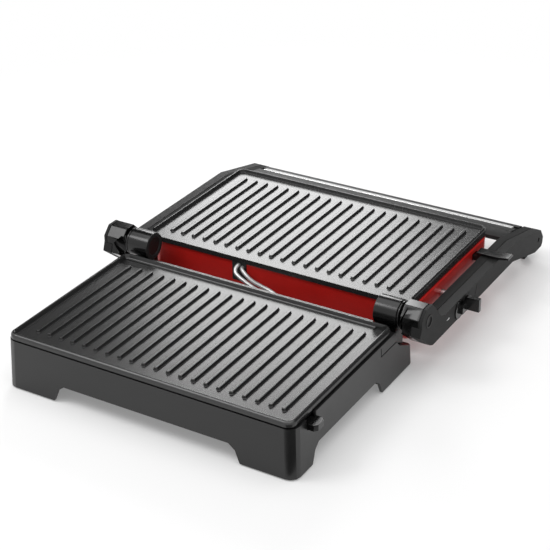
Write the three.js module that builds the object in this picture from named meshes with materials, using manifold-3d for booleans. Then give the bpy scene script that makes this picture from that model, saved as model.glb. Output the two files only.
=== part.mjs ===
// Electric contact grill, lying open flat: the base with the lower plate in front,
// the lid with the upper plate behind it. Millimetres, +X right, +Y to the rear, +Z up.
// The worktop is Z = 0 and the front edge of the base is Y = 0.
import * as THREE from 'three';
import { mergeVertices } from 'three/addons/utils/BufferGeometryUtils.js';
import Module from 'manifold-3d';

const wasm = await Module();
wasm.setup();

// Clearances and steps that every piece shares
const overrun = 4;
const seatGap = 0.3;
const fitGap = 0.6;
const mergeTolerance = 1e-3;
const cornerSteps = 3;
const roundSides = 16;
const wideSides = 22;
const smallSides = 10;
const fullTurn = Math.PI * 2;
const quarterTurn = fullTurn / 4;

// Base housing
const housingHalfWidth = 153.5;
const housingDepth = 221.5;
const housingDraft = 2;
const housingTop = 49.7;
const housingFloorGap = 1;
const housingWall = 3;
const housingFrontRadius = 10;
const housingRearRadius = 5;
const housingInnerRadiusShare = 0.5;

// Rear deck of the housing, falling away behind the plate
const deckRearInset = 2.5;
const deckRearZ = 20.5;
const deckRun = 24;
const deckRise = 11.5;
const rearFaceInset = 24.7;

// Step down beside the hinge sleeves
const recessGap = 2.5;
const recessRun = 2.6;
const recessRidgeZ = 38.5;

// Arches between the feet
const archHeight = 18;
const archShoulderHeight = 13;
const archShoulderInset = 5.4;
const archCrownInset = 12;
const frontArchMargin = 54;
const rearArchMargin = 79;
const sideArchFront = 30;
const sideArchRearMargin = 61.5;

// Opening in the top of the housing for the lower plate
const wellRimCover = 6;
const wellRadius = 6;

// Panel groove on each side wall
const grooveWidth = 1.2;
const grooveDepth = 1;
const grooveRearMargin = 63.5;
const grooveHighMargin = 2.2;

// Hinge
const hingeSetback = 18;
const hingeZ = 60.5;
const sleeveRadius = 14;
const sleeveSideInset = 4;
const sleeveLength = 23.5;
const pedestalMargin = 2;
const pedestalHalfDepth = 8;
const pedestalGap = 0.45;
const pinRadius = 4;
const pinEndMargin = 2;
const collarRadius = 13.5;
const collarThickness = 3.5;
const collarGap = 0.5;
const hubRadius = 16;
const hubSides = 8;
const hubSideGap = 1;
const plugRadius = 6.7;
const plugDepth = 2.2;
const plugProud = 0.5;
const plugDimple = 0.7;

// Lower plate
const plateSideInset = 2;
const plateFrontInset = 2;
const plateSleeveGap = 3;
const plateCornerRadius = 8;
const plateSeatHeight = 1.6;
const plateFloorDrop = 4;
const plateRimHeight = 5.4;
const plateLip = 4;
const plateLipSlope = 3;
const panDepth = 1.8;
const ribSideMargin = 15;
const ribPitch = 13;
const ribWidth = 4.4;
const ribTopWidth = 2.6;
const ribHeight = 2.4;
const ribFrontMargin = 18.7;
const ribRearMargin = 18.6;
const ribEndSlope = 1.2;
const ribEndRadiusShare = 1 / 3;
const gutterLength = 33;
const gutterWidth = 10;
const gutterDepth = 1.6;
const gutterSlant = 8;
const drainRadius = 6;
const drainInset = 6.5;

// Bottom cover of the base with its four foot tubs
const coverRise = 0.5;
const coverThickness = 2.5;
const footTubReach = 39;
const footTubDepth = 24;
const rearTubDepth = 44;
const footTubWall = 2.5;
const footPadHeight = 3;
const footPadMargin = 6;
const footPadRadiusShare = 1 / 3;
const screwBossRadius = 4.8;
const screwBossHeight = 17;
const screwBossOverlapShare = 0.75;
const screwFrontY = 52;
const screwRearMargin = 81.5;
const screwShankRadius = 1.75;
const screwShankLength = 13;
const screwHeadRadius = 3.2;
const screwHeadHeight = 2.4;
const screwSlotDepth = 1;
const screwSlotWidth = 1;

// Inner pieces that heat both plates
const heaterRadius = 3.3;
const heaterSteps = 40;
const heaterSides = 8;
const heaterSideMargin = 51;
const heaterFrontMargin = 34;
const heaterRearMargin = 36;
const heaterTailHalfWidth = 24;
const reflectorSideMargin = 31;
const reflectorMargin = 16;
const reflectorThickness = 0.8;
const reflectorRim = 5;
const reflectorDrop = 14;
const postRadius = 3;
const postInset = 14;
const thermostatRadius = 9;
const thermostatHeight = 8;
const thermostatFlange = 2;
const thermostatFlangeHeight = 1.6;
const terminalLength = 30;
const terminalWidth = 14;
const terminalHeight = 12;
const terminalSideInset = 85;
const terminalNotch = 3;
const terminalWays = 3;

// Mains inlet in the rear wall
const inletSideInset = 25;
const inletZ = 10.5;
const inletRadius = 5.5;
const inletFlangeRadius = 7.5;
const inletFlangeThickness = 2;
const inletTail = 14;
const inletBoreRadius = 3.3;
const inletBoreDepth = 6;

// Lid shell
const shellSleeveGap = 9;
const shellFrontInset = 2.5;
const shellArmGap = 8;
const shellBottom = 14;
const shellTop = 54.8;
const shellEdgeRadius = 12;
const shellCornerRadius = 14;
const shellWall = 2.5;
const shellEdgeSteps = 3;

// Upper plate
const upperPlateOverhang = 2;
const upperPlateSideInset = 1.5;
const upperPlateFarInset = 1.5;
const upperPlateThickness = 5.5;
const upperPanDepth = 3;
const upperLipHeight = 3.6;
const upperLipWidth = 3;
const upperLipNearInset = 8;

// Link leads between the base and the lid
const notchLeft = -49.2;
const notchWidth = 16.9;
const notchDepth = 21.4;
const lidBushProud = 0.5;
const lidBushInset = 0.2;
const leadRadius = 2;
const leadSteps = 40;
const leadSides = 8;
const baseBushX = 30;
const baseBushWidth = 12;
const baseBushHeight = 11;
const baseBushZ = 32.5;
const baseBushDepth = 9;
const baseBushStemRadius = 3.5;
const outerLeadRoute = [
  [-40.2, 225.7, 52.2], [-40.3, 223.2, 52.1], [-40.6, 219.8, 50.4], [-39.2, 217, 47.6], [-34.6, 214.8, 45.5],
  [-26.9, 212.3, 43.7], [-18.5, 209.6, 42.3], [-7.4, 206.5, 41], [6, 204, 39.3], [18, 202.4, 37.3],
  [27, 202, 36.5], [29.7, 202, 36.5],
];
const innerLeadRoute = [
  [-36.2, 225.7, 49.9], [-36.2, 224.3, 49.9], [-34.9, 222.2, 49.6], [-31.3, 219.8, 48.2], [-25.4, 217, 46.3],
  [-18.5, 213.9, 45.2], [-5.5, 209.8, 44.6], [8, 206.4, 43.7], [19, 203.2, 41.7], [27, 202, 40.8],
  [29.7, 202, 40.8],
];

// Arms of the lid
const armSideGap = 4;
const armBarThickness = 9.3;
const armThickness = 19.5;
const armTop = 50;
const armUnderside = 30;
const armNeckReach = 18;
const armNeckDrop = 9.5;
const armChinReach = 4;
const armChinRise = 3;
const armBellyOffset = 10.5;
const armWebOffset = 26.5;
const armWebRise = 3;
const armLevelOffset = 34.5;
const armKinkGap = 2;
const armTipRun = 72.5;
const armTipDrop = 17;
const armTipReach = 8;
const armTipMidDrop = 28;
const armTipBendReach = 0.8;
const armTipBendRise = 3;
const armTipLowReach = 3.5;
const armTipFloor = 12;
const armTipLowRun = 60;
const coverHubGap = 3;

// Pins that carry the lid between the arms
const lidPinOffset = 88.5;
const lidPinRadius = 4;
const lidPinZ = 40;
const lidPinHeadRadius = 7;
const lidPinHeadThickness = 3;

// Pads under the ends of the arms
const restPadRun = 48.5;
const restPadLength = 23;
const restPadMargin = 1.5;

// Handle between the arms
const handleGap = 28.5;
const handleRise = 1;
const handleNearDepth = 14;
const handleLength = 43;
const handleThickness = 15;
const handleNoseDrop = 5;
const handleLedgeDrop = 2.6;
const handleLedgeRun = 10.5;
const stripRun = 25;
const stripWidth = 7.5;
const stripHeight = 2;
const stripEndMargin = 5;
const handleScrewRadius = 2;
const handleScrewLength = 14;
const handleScrewHeadRadius = 3.6;
const handleScrewHeadThickness = 2.4;
const handleScrewRun = 22;
const handleScrewDrop = 8;

// Release lever on the right arm
const leverOffset = 67.5;
const leverZ = 40;
const leverDiscRadius = 9.5;
const leverRecessDepth = 3.2;
const leverDiscProud = 1;
const leverShaftRadius = 3;
const leverShaftLength = 10;
const leverArmThickness = 3;
const leverArmLength = 17;
const leverArmHalfHeight = 5;
const leverFinReach = 14;
const leverFinThickness = 4.5;
const leverFinLow = 6;
const leverFinHigh = 7.5;

// Lower release button on the right wall of the base
const lowerButtonY = 31;
const lowerButtonHalfWidth = 7.5;
const lowerButtonLow = 40;
const lowerButtonHigh = 46;
const lowerButtonReach = 9;
const lowerButtonChamfer = 3;
const buttonTravel = 3;
const buttonStemHalfWidth = 5;
const buttonStemHeight = 5.5;
const lowerStemLength = 14;
const lowerStemRise = 0.25;
const springRadius = 2.6;
const springWire = 0.5;
const springTurns = 4;
const springSteps = 8;
const springSides = 5;
const springLength = 8;
const springPostThickness = 4;
const springPostHalfWidth = 6;

// Upper release button over the right arm
const upperButtonFarInset = 36.5;
const upperButtonHalfWidth = 5.8;
const upperButtonReach = 11;
const upperButtonThickness = 2.6;
const upperButtonRise = 1.5;
const upperButtonClearance = 1.1;
const upperWebThickness = 3.5;
const upperStemLow = 43.5;
const upperStemLength = 14;

// Lamps in the outer face of the lid
const lampX = 18;
const lampFarInset = 30;
const lampRadius = 4;
const lampFlangeRadius = 5.5;
const lampFlangeThickness = 1.2;
const lampBody = 5;

// Places worked out from the sizes above
const hingeY = housingDepth - hingeSetback;
const deckRearY = housingDepth - deckRearInset;
const rearFaceY = housingDepth - rearFaceInset;
const recessTopY = hingeY - sleeveRadius - recessGap;
const recessRidgeY = recessTopY + recessRun;
const housingHeight = housingTop - housingFloorGap;
const housingTopHalf = housingHalfWidth - housingDraft;
const sleeveOuter = housingHalfWidth - sleeveSideInset;
const sleeveInner = sleeveOuter - sleeveLength;
const recessHalfWidth = sleeveInner - recessGap;
const plateHalf = housingTopHalf - plateSideInset;
const plateRear = hingeY - sleeveRadius - plateSleeveGap;
const wellHalf = plateHalf - wellRimCover;
const wellFront = plateFrontInset + wellRimCover;
const wellRear = plateRear - wellRimCover;
const grooveFrontY = housingDepth - grooveRearMargin;
const plateBottom = housingTop + plateSeatHeight;
const plateTop = plateBottom + plateRimHeight;
const plateFloor = plateTop - plateFloorDrop;
const panBottom = housingTop - panDepth;
const ribFront = plateFrontInset + ribFrontMargin;
const ribRear = plateRear - ribRearMargin;
const ribsPerSide = Math.floor((plateHalf - ribSideMargin) / ribPitch);
const coverBottom = archHeight + coverRise;
const coverTop = coverBottom + coverThickness;
const screwBossInset = housingWall + screwBossRadius * screwBossOverlapShare;
const heaterHalfWidth = plateHalf - heaterSideMargin;
const reflectorHalfWidth = plateHalf - reflectorSideMargin;
const terminalX = plateHalf - terminalSideInset;
const inletX = inletSideInset - housingHalfWidth;
const armInner = housingHalfWidth + armSideGap;
const armSplit = armInner + armBarThickness;
const armOuter = armInner + armThickness;
const shellHalfWidth = armInner - shellArmGap;
const shellNear = hingeY + sleeveRadius + shellSleeveGap;
const shellFar = 2 * hingeY - shellFrontInset;
const shellInnerHalf = shellHalfWidth - shellWall;
const shellFloor = shellBottom + shellWall;
const upperPlateNear = shellNear - upperPlateOverhang;
const upperPlateFar = shellFar - upperPlateFarInset;
const upperPlateTop = shellTop + upperPlateThickness;
const upperPlateHalf = shellHalfWidth - upperPlateSideInset;
const upperPanBottom = shellTop - upperPanDepth;
const hubTurn = fullTurn / (2 * hubSides);
const hubFlat = hubRadius * Math.cos(hubTurn);
const hubHalfFlat = hubRadius * Math.sin(hubTurn);
const hubInner = housingHalfWidth + hubSideGap;
const armKinkY = shellFar + armKinkGap;
const armTipY = armKinkY + armTipRun;
const armEnd = armTipY + armTipReach;
const coverInner = armSplit + seatGap;
const hubFace = armOuter - coverHubGap;
const boreRadius = pinRadius + seatGap;
const lidPinY = hingeY + lidPinOffset;
const slopeRate = armTipDrop / armTipRun;
const handleNear = shellFar + handleGap;
const handleHalf = armInner - seatGap;
const stripStart = handleNear + stripRun;
const stripEnd = stripStart + stripWidth;
const handleScrewY = handleNear + handleScrewRun;
const handleScrewZ = slopeHeight(handleScrewY) - handleScrewDrop;
const leverY = hingeY + leverOffset;
const leverFace = armOuter + leverDiscProud;
const leverReach = leverFace + leverFinReach;
const upperButtonY = shellFar - upperButtonFarInset;
const lowerStemLow = lowerButtonLow + lowerStemRise;
const notchRight = notchLeft + notchWidth;
const notchFloor = shellTop - notchDepth;

const finish = {
  housing: material(0x2f2f30, 0.45, 0.1),
  gloss: material(0x141415, 0.18, 0.1),
  plate: material(0x9b9b9a, 0.42, 0.7),
  shell: material(0x9c1a1e, 0.3, 0.55),
  arm: material(0x59595a, 0.5, 0.15),
  handle: material(0x5d5d60, 0.4, 0.3),
  chrome: material(0xd5d5d6, 0.16, 1),
  steel: material(0xa2a3a5, 0.35, 0.9),
  rubber: material(0x1b1b1b, 0.85, 0),
  black: material(0x1c1c1d, 0.5, 0),
  lead: material(0xb9bab6, 0.35, 0.4),
  lamp: material(0xc4572b, 0.2, 0),
  ceramic: material(0xd8d2c4, 0.7, 0),
};

function material(colour, roughness, metalness) {
  return new THREE.MeshStandardMaterial({ color: colour, roughness, metalness });
}

// Height of the sloping top of the arms at a place behind their kink
function slopeHeight(y) {
  return armTop - (y - armKinkY) * slopeRate;
}

function handleTop(y) {
  return slopeHeight(y) + handleRise;
}

// Height of the rear deck of the housing
function deckHeight(y) {
  return deckRearZ + (deckRearY - y) * (deckRise / deckRun);
}

// Half width of the housing's outer face at a height, and of its inner face
function outerHalfAt(z) {
  return housingHalfWidth - (housingDraft * (z - housingFloorGap)) / housingHeight;
}

function innerHalfAt(z) {
  return outerHalfAt(z) - housingWall;
}

// Solids and geometries
function solidFrom(geometry) {
  const bare = geometry.clone();
  bare.deleteAttribute('normal');
  bare.deleteAttribute('uv');
  const merged = mergeVertices(bare, mergeTolerance);
  const vertProperties = new Float32Array(merged.attributes.position.array);
  const triVerts = new Uint32Array(merged.index.array);
  return new wasm.Manifold(new wasm.Mesh({ numProp: 3, vertProperties, triVerts }));
}

function geometryFrom(solid) {
  const mesh = solid.getMesh();
  const geometry = new THREE.BufferGeometry();
  const positions = [];
  for (let vertex = 0; vertex < mesh.numVert; vertex += 1) {
    const start = vertex * mesh.numProp;
    positions.push(...mesh.vertProperties.slice(start, start + 3));
  }
  geometry.setAttribute('position', new THREE.Float32BufferAttribute(positions, 3));
  geometry.setIndex([...mesh.triVerts]);
  geometry.computeVertexNormals();
  return geometry;
}

const unitX = new THREE.Vector3(1, 0, 0);
const unitY = new THREE.Vector3(0, 1, 0);
const unitZ = new THREE.Vector3(0, 0, 1);
const frames = {
  x: new THREE.Matrix4().makeBasis(unitY, unitZ, unitX),
  y: new THREE.Matrix4().makeBasis(unitX, unitZ, unitY.clone().negate()),
  z: new THREE.Matrix4(),
};

// An outline extruded along one axis: its points are (y, z), (x, z) or (x, y)
function prism(along, outline, low, high) {
  const shape = new THREE.Shape(outline.map(([u, v]) => new THREE.Vector2(u, v)));
  const geometry = new THREE.ExtrudeGeometry(shape, { depth: high - low, bevelEnabled: false });
  const start = { x: unitX.clone(), y: unitY.clone(), z: unitZ.clone() }[along];
  start.multiplyScalar(along === 'y' ? high : low);
  geometry.applyMatrix4(frames[along]);
  geometry.translate(start.x, start.y, start.z);
  return solidFrom(geometry);
}

function block([x0, x1], [y0, y1], [z0, z1]) {
  const geometry = new THREE.BoxGeometry(x1 - x0, y1 - y0, z1 - z0);
  geometry.translate((x0 + x1) / 2, (y0 + y1) / 2, (z0 + z1) / 2);
  return solidFrom(geometry);
}

function polygon(radius, u, v, sides, turn = 0) {
  const points = [];
  for (let step = 0; step < sides; step += 1) {
    const angle = turn + (step * fullTurn) / sides;
    points.push([u + radius * Math.cos(angle), v + radius * Math.sin(angle)]);
  }
  return points;
}

function rod(along, radius, [u, v], low, high, sides = roundSides) {
  return prism(along, polygon(radius, u, v, sides), low, high);
}

function join(...solids) {
  return solids.reduce((sum, solid) => sum.add(solid));
}

function cut(body, ...cutters) {
  return cutters.reduce((left, cutter) => left.subtract(cutter), body);
}

// The range from an inner to an outer distance on the right (+1) or the left (-1)
function span(side, inner, outer) {
  return side > 0 ? [inner, outer] : [-outer, -inner];
}

function corner(centreX, centreY, radius, startAngle) {
  const points = [];
  for (let step = 0; step <= cornerSteps; step += 1) {
    const angle = startAngle + (step * quarterTurn) / cornerSteps;
    points.push([centreX + radius * Math.cos(angle), centreY + radius * Math.sin(angle)]);
  }
  return points;
}

// Rounded rectangle seen from above, anticlockwise from the front right corner
function plan(halfWidth, front, rear, frontRadius, rearRadius = frontRadius) {
  return [
    ...corner(halfWidth - frontRadius, front + frontRadius, frontRadius, -quarterTurn),
    ...corner(halfWidth - rearRadius, rear - rearRadius, rearRadius, 0),
    ...corner(rearRadius - halfWidth, rear - rearRadius, rearRadius, quarterTurn),
    ...corner(frontRadius - halfWidth, front + frontRadius, frontRadius, 2 * quarterTurn),
  ];
}

// A closed body through level rings that hold the same number of points
function loft(levels) {
  const count = levels[0].outline.length;
  const positions = levels.flatMap(({ outline, z }) => outline.flatMap(([x, y]) => [x, y, z]));
  const triangles = [];
  for (let level = 0; level + 1 < levels.length; level += 1) {
    for (let step = 0; step < count; step += 1) {
      const here = level * count + step;
      const next = level * count + ((step + 1) % count);
      triangles.push(here, next, next + count, here, next + count, here + count);
    }
  }
  const top = (levels.length - 1) * count;
  for (let step = 1; step + 1 < count; step += 1) {
    triangles.push(0, step + 1, step);
    triangles.push(top, top + step, top + step + 1);
  }
  const geometry = new THREE.BufferGeometry();
  geometry.setAttribute('position', new THREE.Float32BufferAttribute(positions, 3));
  geometry.setIndex(triangles);
  return solidFrom(geometry);
}

// A tube of a regular section along a curve
function tube(curve, radius, sides, steps) {
  const outline = polygon(radius, 0, 0, sides).map(([u, v]) => new THREE.Vector2(u, v));
  const geometry = new THREE.ExtrudeGeometry(new THREE.Shape(outline), { steps, extrudePath: curve });
  return solidFrom(geometry);
}

const grill = new THREE.Group();
const base = new THREE.Group();
const lid = new THREE.Group();
grill.add(base, lid);

function addPiece(parent, name, solid, look) {
  const mesh = new THREE.Mesh(geometryFrom(solid), look);
  mesh.name = name;
  parent.add(mesh);
}

// Base housing: a drafted shell, open below, with the plate's opening in its top
function archOutline(left, right) {
  return [
    [left, -overrun], [right, -overrun], [right, 0],
    [right - archShoulderInset, archShoulderHeight], [right - archCrownInset, archHeight],
    [left + archCrownInset, archHeight], [left + archShoulderInset, archShoulderHeight], [left, 0],
  ];
}

function recessOutline(inset) {
  return [
    [recessTopY - inset, housingTop + overrun], [recessTopY - inset, housingTop],
    [recessRidgeY - inset, recessRidgeZ - inset], [deckRearY - deckRun - inset, deckRearZ + deckRise - inset],
    [rearFaceY + overrun, deckHeight(rearFaceY + overrun) - inset],
    [rearFaceY + overrun, housingTop + overrun],
  ];
}

function housingBody() {
  const outer = loft([
    {
      outline: plan(housingHalfWidth, 0, housingDepth, housingFrontRadius, housingRearRadius),
      z: housingFloorGap,
    },
    {
      outline: plan(
        housingTopHalf, housingDraft, housingDepth - housingDraft, housingFrontRadius, housingRearRadius,
      ),
      z: housingTop,
    },
  ]);
  const profile = prism('x', [
    [-overrun, -overrun], [housingDepth + overrun, -overrun], [housingDepth + overrun, deckRearZ],
    [deckRearY, deckRearZ], [rearFaceY, deckHeight(rearFaceY)], [rearFaceY, housingTop + overrun],
    [-overrun, housingTop + overrun],
  ], -housingHalfWidth - overrun, housingHalfWidth + overrun);
  const recesses = [1, -1].map((side) => prism(
    'x', recessOutline(0), ...span(side, recessHalfWidth, housingHalfWidth + overrun),
  ));
  return cut(outer.intersect(profile), ...recesses);
}

function housingCavity() {
  const wall = housingWall;
  const frontRadius = Math.max(housingFrontRadius - wall, wall * housingInnerRadiusShare);
  const rearRadius = Math.max(housingRearRadius - wall, wall * housingInnerRadiusShare);
  const draft = housingDraft;
  const inner = loft([
    { outline: plan(innerHalfAt(-overrun), wall, housingDepth - wall, frontRadius, rearRadius), z: -overrun },
    {
      outline: plan(
        innerHalfAt(housingTop), wall + draft, housingDepth - wall - draft, frontRadius, rearRadius,
      ),
      z: housingTop,
    },
  ]);
  const profile = prism('x', [
    [-overrun, -overrun - overrun], [housingDepth, -overrun - overrun], [housingDepth, deckRearZ - wall],
    [deckRearY, deckRearZ - wall], [rearFaceY - wall, deckHeight(rearFaceY - wall) - wall],
    [rearFaceY - wall, housingTop - wall], [-overrun, housingTop - wall],
  ], -housingHalfWidth - overrun, housingHalfWidth + overrun);
  const keeps = [1, -1].map((side) => prism(
    'x', recessOutline(wall), ...span(side, recessHalfWidth - wall, housingHalfWidth + overrun),
  ));
  return cut(inner.intersect(profile), ...keeps);
}

const screwRearY = housingDepth - screwRearMargin;
const screwSpots = [screwFrontY, screwRearY].flatMap((y) => [1, -1].map((side) => ({
  x: side * (outerHalfAt(coverTop) - screwBossInset), y,
})));

const lowerButtonSpan = [lowerButtonY - lowerButtonHalfWidth, lowerButtonY + lowerButtonHalfWidth];
const lowerNotchInner = (wellHalf + housingTopHalf) / 2;

function baseHousing() {
  const frontArchHalf = housingHalfWidth - frontArchMargin;
  const rearArchHalf = housingHalfWidth - rearArchMargin;
  const sideArchRear = housingDepth - sideArchRearMargin;
  const arches = [
    prism(
      'y', archOutline(-frontArchHalf, frontArchHalf), -overrun,
      housingWall + housingDraft + overrun,
    ),
    prism(
      'y', archOutline(-rearArchHalf, rearArchHalf), deckRearY - overrun, housingDepth + overrun,
    ),
    prism(
      'x', archOutline(sideArchFront, sideArchRear), -housingHalfWidth - overrun, housingHalfWidth + overrun,
    ),
  ];
  const wellOutline = plan(wellHalf, wellFront, wellRear, wellRadius);
  const well = prism('z', wellOutline, housingTop - housingWall - overrun, housingTop + overrun);
  const grooves = [1, -1].flatMap((side) => {
    const range = span(side, outerHalfAt(housingTop) - grooveDepth, housingHalfWidth + overrun);
    const low = recessRidgeZ + grooveWidth;
    return [
      block(range, [grooveFrontY, grooveFrontY + grooveWidth], [low, housingTop - grooveHighMargin]),
      block(range, [grooveFrontY, recessRidgeY + overrun], [recessRidgeZ, low]),
    ];
  });
  const bosses = screwSpots.map(({ x, y }) => rod(
    'z', screwBossRadius, [x, y], coverTop, coverTop + screwBossHeight, smallSides,
  ));
  const pilots = screwSpots.map(({ x, y }) => rod(
    'z', screwShankRadius + seatGap, [x, y], coverTop - overrun, coverBottom + screwShankLength + seatGap,
    smallSides,
  ));
  const buttonNotch = block(
    [lowerNotchInner, housingHalfWidth + overrun],
    [lowerButtonSpan[0] - fitGap, lowerButtonSpan[1] + fitGap],
    [lowerButtonLow - fitGap, housingTop + overrun],
  );
  const inlet = rod(
    'y', inletRadius + seatGap, [inletX, inletZ], housingDepth - housingWall - housingDraft - overrun,
    housingDepth + overrun,
  );
  const bushHole = rod(
    'y', baseBushStemRadius + seatGap, baseBushCentre, rearFaceY - housingWall - overrun,
    rearFaceY + overrun, smallSides,
  );
  const shell = cut(housingBody(), housingCavity());
  return cut(join(shell, ...bosses), ...arches, well, ...grooves, ...pilots, buttonNotch, inlet, bushHole);
}

// Ribs, plate and lip
function ribs(low, front, rear) {
  const outline = (width, inset) => plan(
    width / 2, front + inset, rear - inset, width * ribEndRadiusShare,
  );
  const solids = [];
  for (let index = -ribsPerSide; index <= ribsPerSide; index += 1) {
    const x = index * ribPitch;
    const shift = (points) => points.map(([u, v]) => [u + x, v]);
    solids.push(loft([
      { outline: shift(outline(ribWidth, 0)), z: low - ribHeight / 2 },
      { outline: shift(outline(ribWidth, 0)), z: low },
      { outline: shift(outline(ribTopWidth, ribEndSlope)), z: low + ribHeight },
    ]));
  }
  return solids;
}

function lowerPlate() {
  const radius = plateCornerRadius;
  const rim = loft([
    { outline: plan(plateHalf, plateFrontInset, plateRear, radius), z: plateBottom },
    { outline: plan(plateHalf, plateFrontInset, plateRear, radius), z: plateTop },
  ]);
  const dishInset = plateLip + plateLipSlope;
  const dish = loft([
    {
      outline: plan(plateHalf - dishInset, plateFrontInset + dishInset, plateRear - dishInset, radius / 2),
      z: plateFloor,
    },
    {
      outline: plan(plateHalf - plateLip, plateFrontInset + plateLip, plateRear - plateLip, radius),
      z: plateTop,
    },
    {
      outline: plan(plateHalf - plateLip, plateFrontInset + plateLip, plateRear - plateLip, radius),
      z: plateTop + overrun,
    },
  ]);
  const seatInset = (plateHalf - wellHalf) / 2;
  const seat = loft([
    {
      outline: plan(plateHalf - seatInset, plateFrontInset + seatInset, plateRear - seatInset, radius),
      z: housingTop,
    },
    {
      outline: plan(plateHalf - seatInset, plateFrontInset + seatInset, plateRear - seatInset, radius),
      z: plateFloor,
    },
  ]);
  const panOutline = plan(wellHalf - fitGap, wellFront + fitGap, wellRear - fitGap, wellRadius);
  const pan = loft([{ outline: panOutline, z: panBottom }, { outline: panOutline, z: plateBottom }]);
  const gutterRear = plateRear - dishInset;
  const gutterLeft = plateLip - plateHalf;
  const gutter = prism('z', [
    [gutterLeft, gutterRear], [gutterLeft, gutterRear - gutterWidth],
    [gutterLeft + gutterLength - gutterSlant, gutterRear - gutterWidth],
    [gutterLeft + gutterLength, gutterRear],
  ], plateFloor - gutterDepth, plateTop);
  const drain = rod(
    'z', drainRadius, [plateHalf - drainInset - dishInset / 2, plateRear - dishInset], plateBottom,
    plateTop, roundSides,
  );
  const drainReach = block(
    [0, plateHalf], [plateRear - dishInset - drainRadius - overrun, plateRear - plateLip],
    [housingTop, plateTop],
  );
  const body = cut(join(cut(rim, dish), seat, pan), gutter, drain.intersect(drainReach));
  return join(body, ...ribs(plateFloor, ribFront, ribRear));
}

function upperPlate() {
  const outline = plan(upperPlateHalf, upperPlateNear, upperPlateFar, plateCornerRadius);
  const slab = loft([{ outline, z: shellTop }, { outline, z: upperPlateTop }]);
  const innerRadius = shellCornerRadius - shellWall;
  const panOutline = plan(
    shellInnerHalf - fitGap, shellNear + shellWall + fitGap, shellFar - shellWall - fitGap, innerRadius,
  );
  const pan = loft(
    [{ outline: panOutline, z: upperPanBottom }, { outline: panOutline, z: upperPlateTop - ribHeight }],
  );
  const lipTop = upperPlateTop + upperLipHeight;
  const lipRoom = plan(
    upperPlateHalf - upperLipWidth, upperPlateNear - overrun, upperPlateFar - upperLipWidth,
    plateCornerRadius - upperLipWidth,
  );
  const lip = cut(
    prism('z', outline, upperPlateTop - ribHeight, lipTop),
    prism('z', lipRoom, upperPlateTop, lipTop + overrun),
    block(
      [-upperPlateHalf - overrun, upperPlateHalf + overrun],
      [upperPlateNear - overrun, upperPlateNear + upperLipNearInset], [upperPlateTop, lipTop + overrun],
    ),
  );
  return join(slab, pan, lip, ...ribs(upperPlateTop, 2 * hingeY - ribRear, 2 * hingeY - ribFront));
}

const coverHalf = innerHalfAt(coverTop) - seatGap;
const coverFront = housingWall + housingDraft + seatGap;
const coverRear = deckRearY - ((coverTop + housingWall + seatGap - deckRearZ) * deckRun) / deckRise - seatGap;
const footTubInner = housingHalfWidth - footTubReach;
const footTubs = [1, -1].flatMap((side) => [
  {
    side, x: span(side, footTubInner, coverHalf), y: [coverFront, coverFront + footTubDepth], place: 'front',
  },
  { side, x: span(side, footTubInner, coverHalf), y: [coverRear - rearTubDepth, coverRear], place: 'rear' },
]);

// Bottom cover: a plate with four tubs that reach down into the corners
function bottomCover() {
  const radius = Math.max(housingFrontRadius - housingWall, housingWall * housingInnerRadiusShare);
  const outline = plan(coverHalf, coverFront, coverRear, radius);
  const plate = prism('z', outline, coverBottom, coverTop);
  const wall = footTubWall;
  const reach = prism('z', outline, footPadHeight, coverTop);
  const tubBodies = footTubs.map(({ x, y }) => block(x, y, [footPadHeight, coverTop]).intersect(reach));
  const tubHollows = footTubs.map(({ x, y }) => block(
    [x[0] + wall, x[1] - wall], [y[0] + wall, y[1] - wall], [footPadHeight + wall, coverTop + overrun],
  ));
  const holes = screwSpots.map(({ x, y }) => rod(
    'z', screwShankRadius + seatGap, [x, y], coverBottom - overrun, coverTop + overrun, smallSides,
  ));
  const inlet = rod(
    'y', inletRadius + seatGap, [inletX, inletZ], coverRear - wall - overrun, coverRear + overrun,
  );
  const posts = postSpots(plateFrontInset + reflectorMargin, plateRear - reflectorMargin).map((spot) => rod(
    'z', postRadius, spot, coverBottom, lowerReflectorBottom, smallSides,
  ));
  const springPost = block(
    [springPostX - springPostThickness, springPostX],
    [lowerButtonY - springPostHalfWidth, lowerButtonY + springPostHalfWidth],
    [coverBottom, lowerStemLow + buttonStemHeight],
  );
  return cut(join(plate, ...tubBodies, ...posts, springPost), ...tubHollows, ...holes, inlet);
}

function footPad({ x, y }) {
  const centreX = (x[0] + x[1]) / 2;
  const half = (x[1] - x[0]) / 2 - footPadMargin;
  const outline = plan(half, y[0] + footPadMargin, y[1] - footPadMargin, half * footPadRadiusShare);
  const placed = outline.map(([u, v]) => [u + centreX, v]);
  return loft([{ outline: placed, z: 0 }, { outline: placed, z: footPadHeight }]);
}

function coverScrew({ x, y }) {
  const head = rod('z', screwHeadRadius, [x, y], coverBottom - screwHeadHeight, coverBottom, smallSides);
  const shank = rod(
    'z', screwShankRadius, [x, y], coverBottom - screwHeadHeight, coverBottom + screwShankLength, smallSides,
  );
  const slot = block(
    [x - screwHeadRadius - overrun, x + screwHeadRadius + overrun],
    [y - screwSlotWidth / 2, y + screwSlotWidth / 2],
    [coverBottom - screwHeadHeight - overrun, coverBottom - screwHeadHeight + screwSlotDepth],
  );
  return cut(join(head, shank), slot);
}

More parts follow.
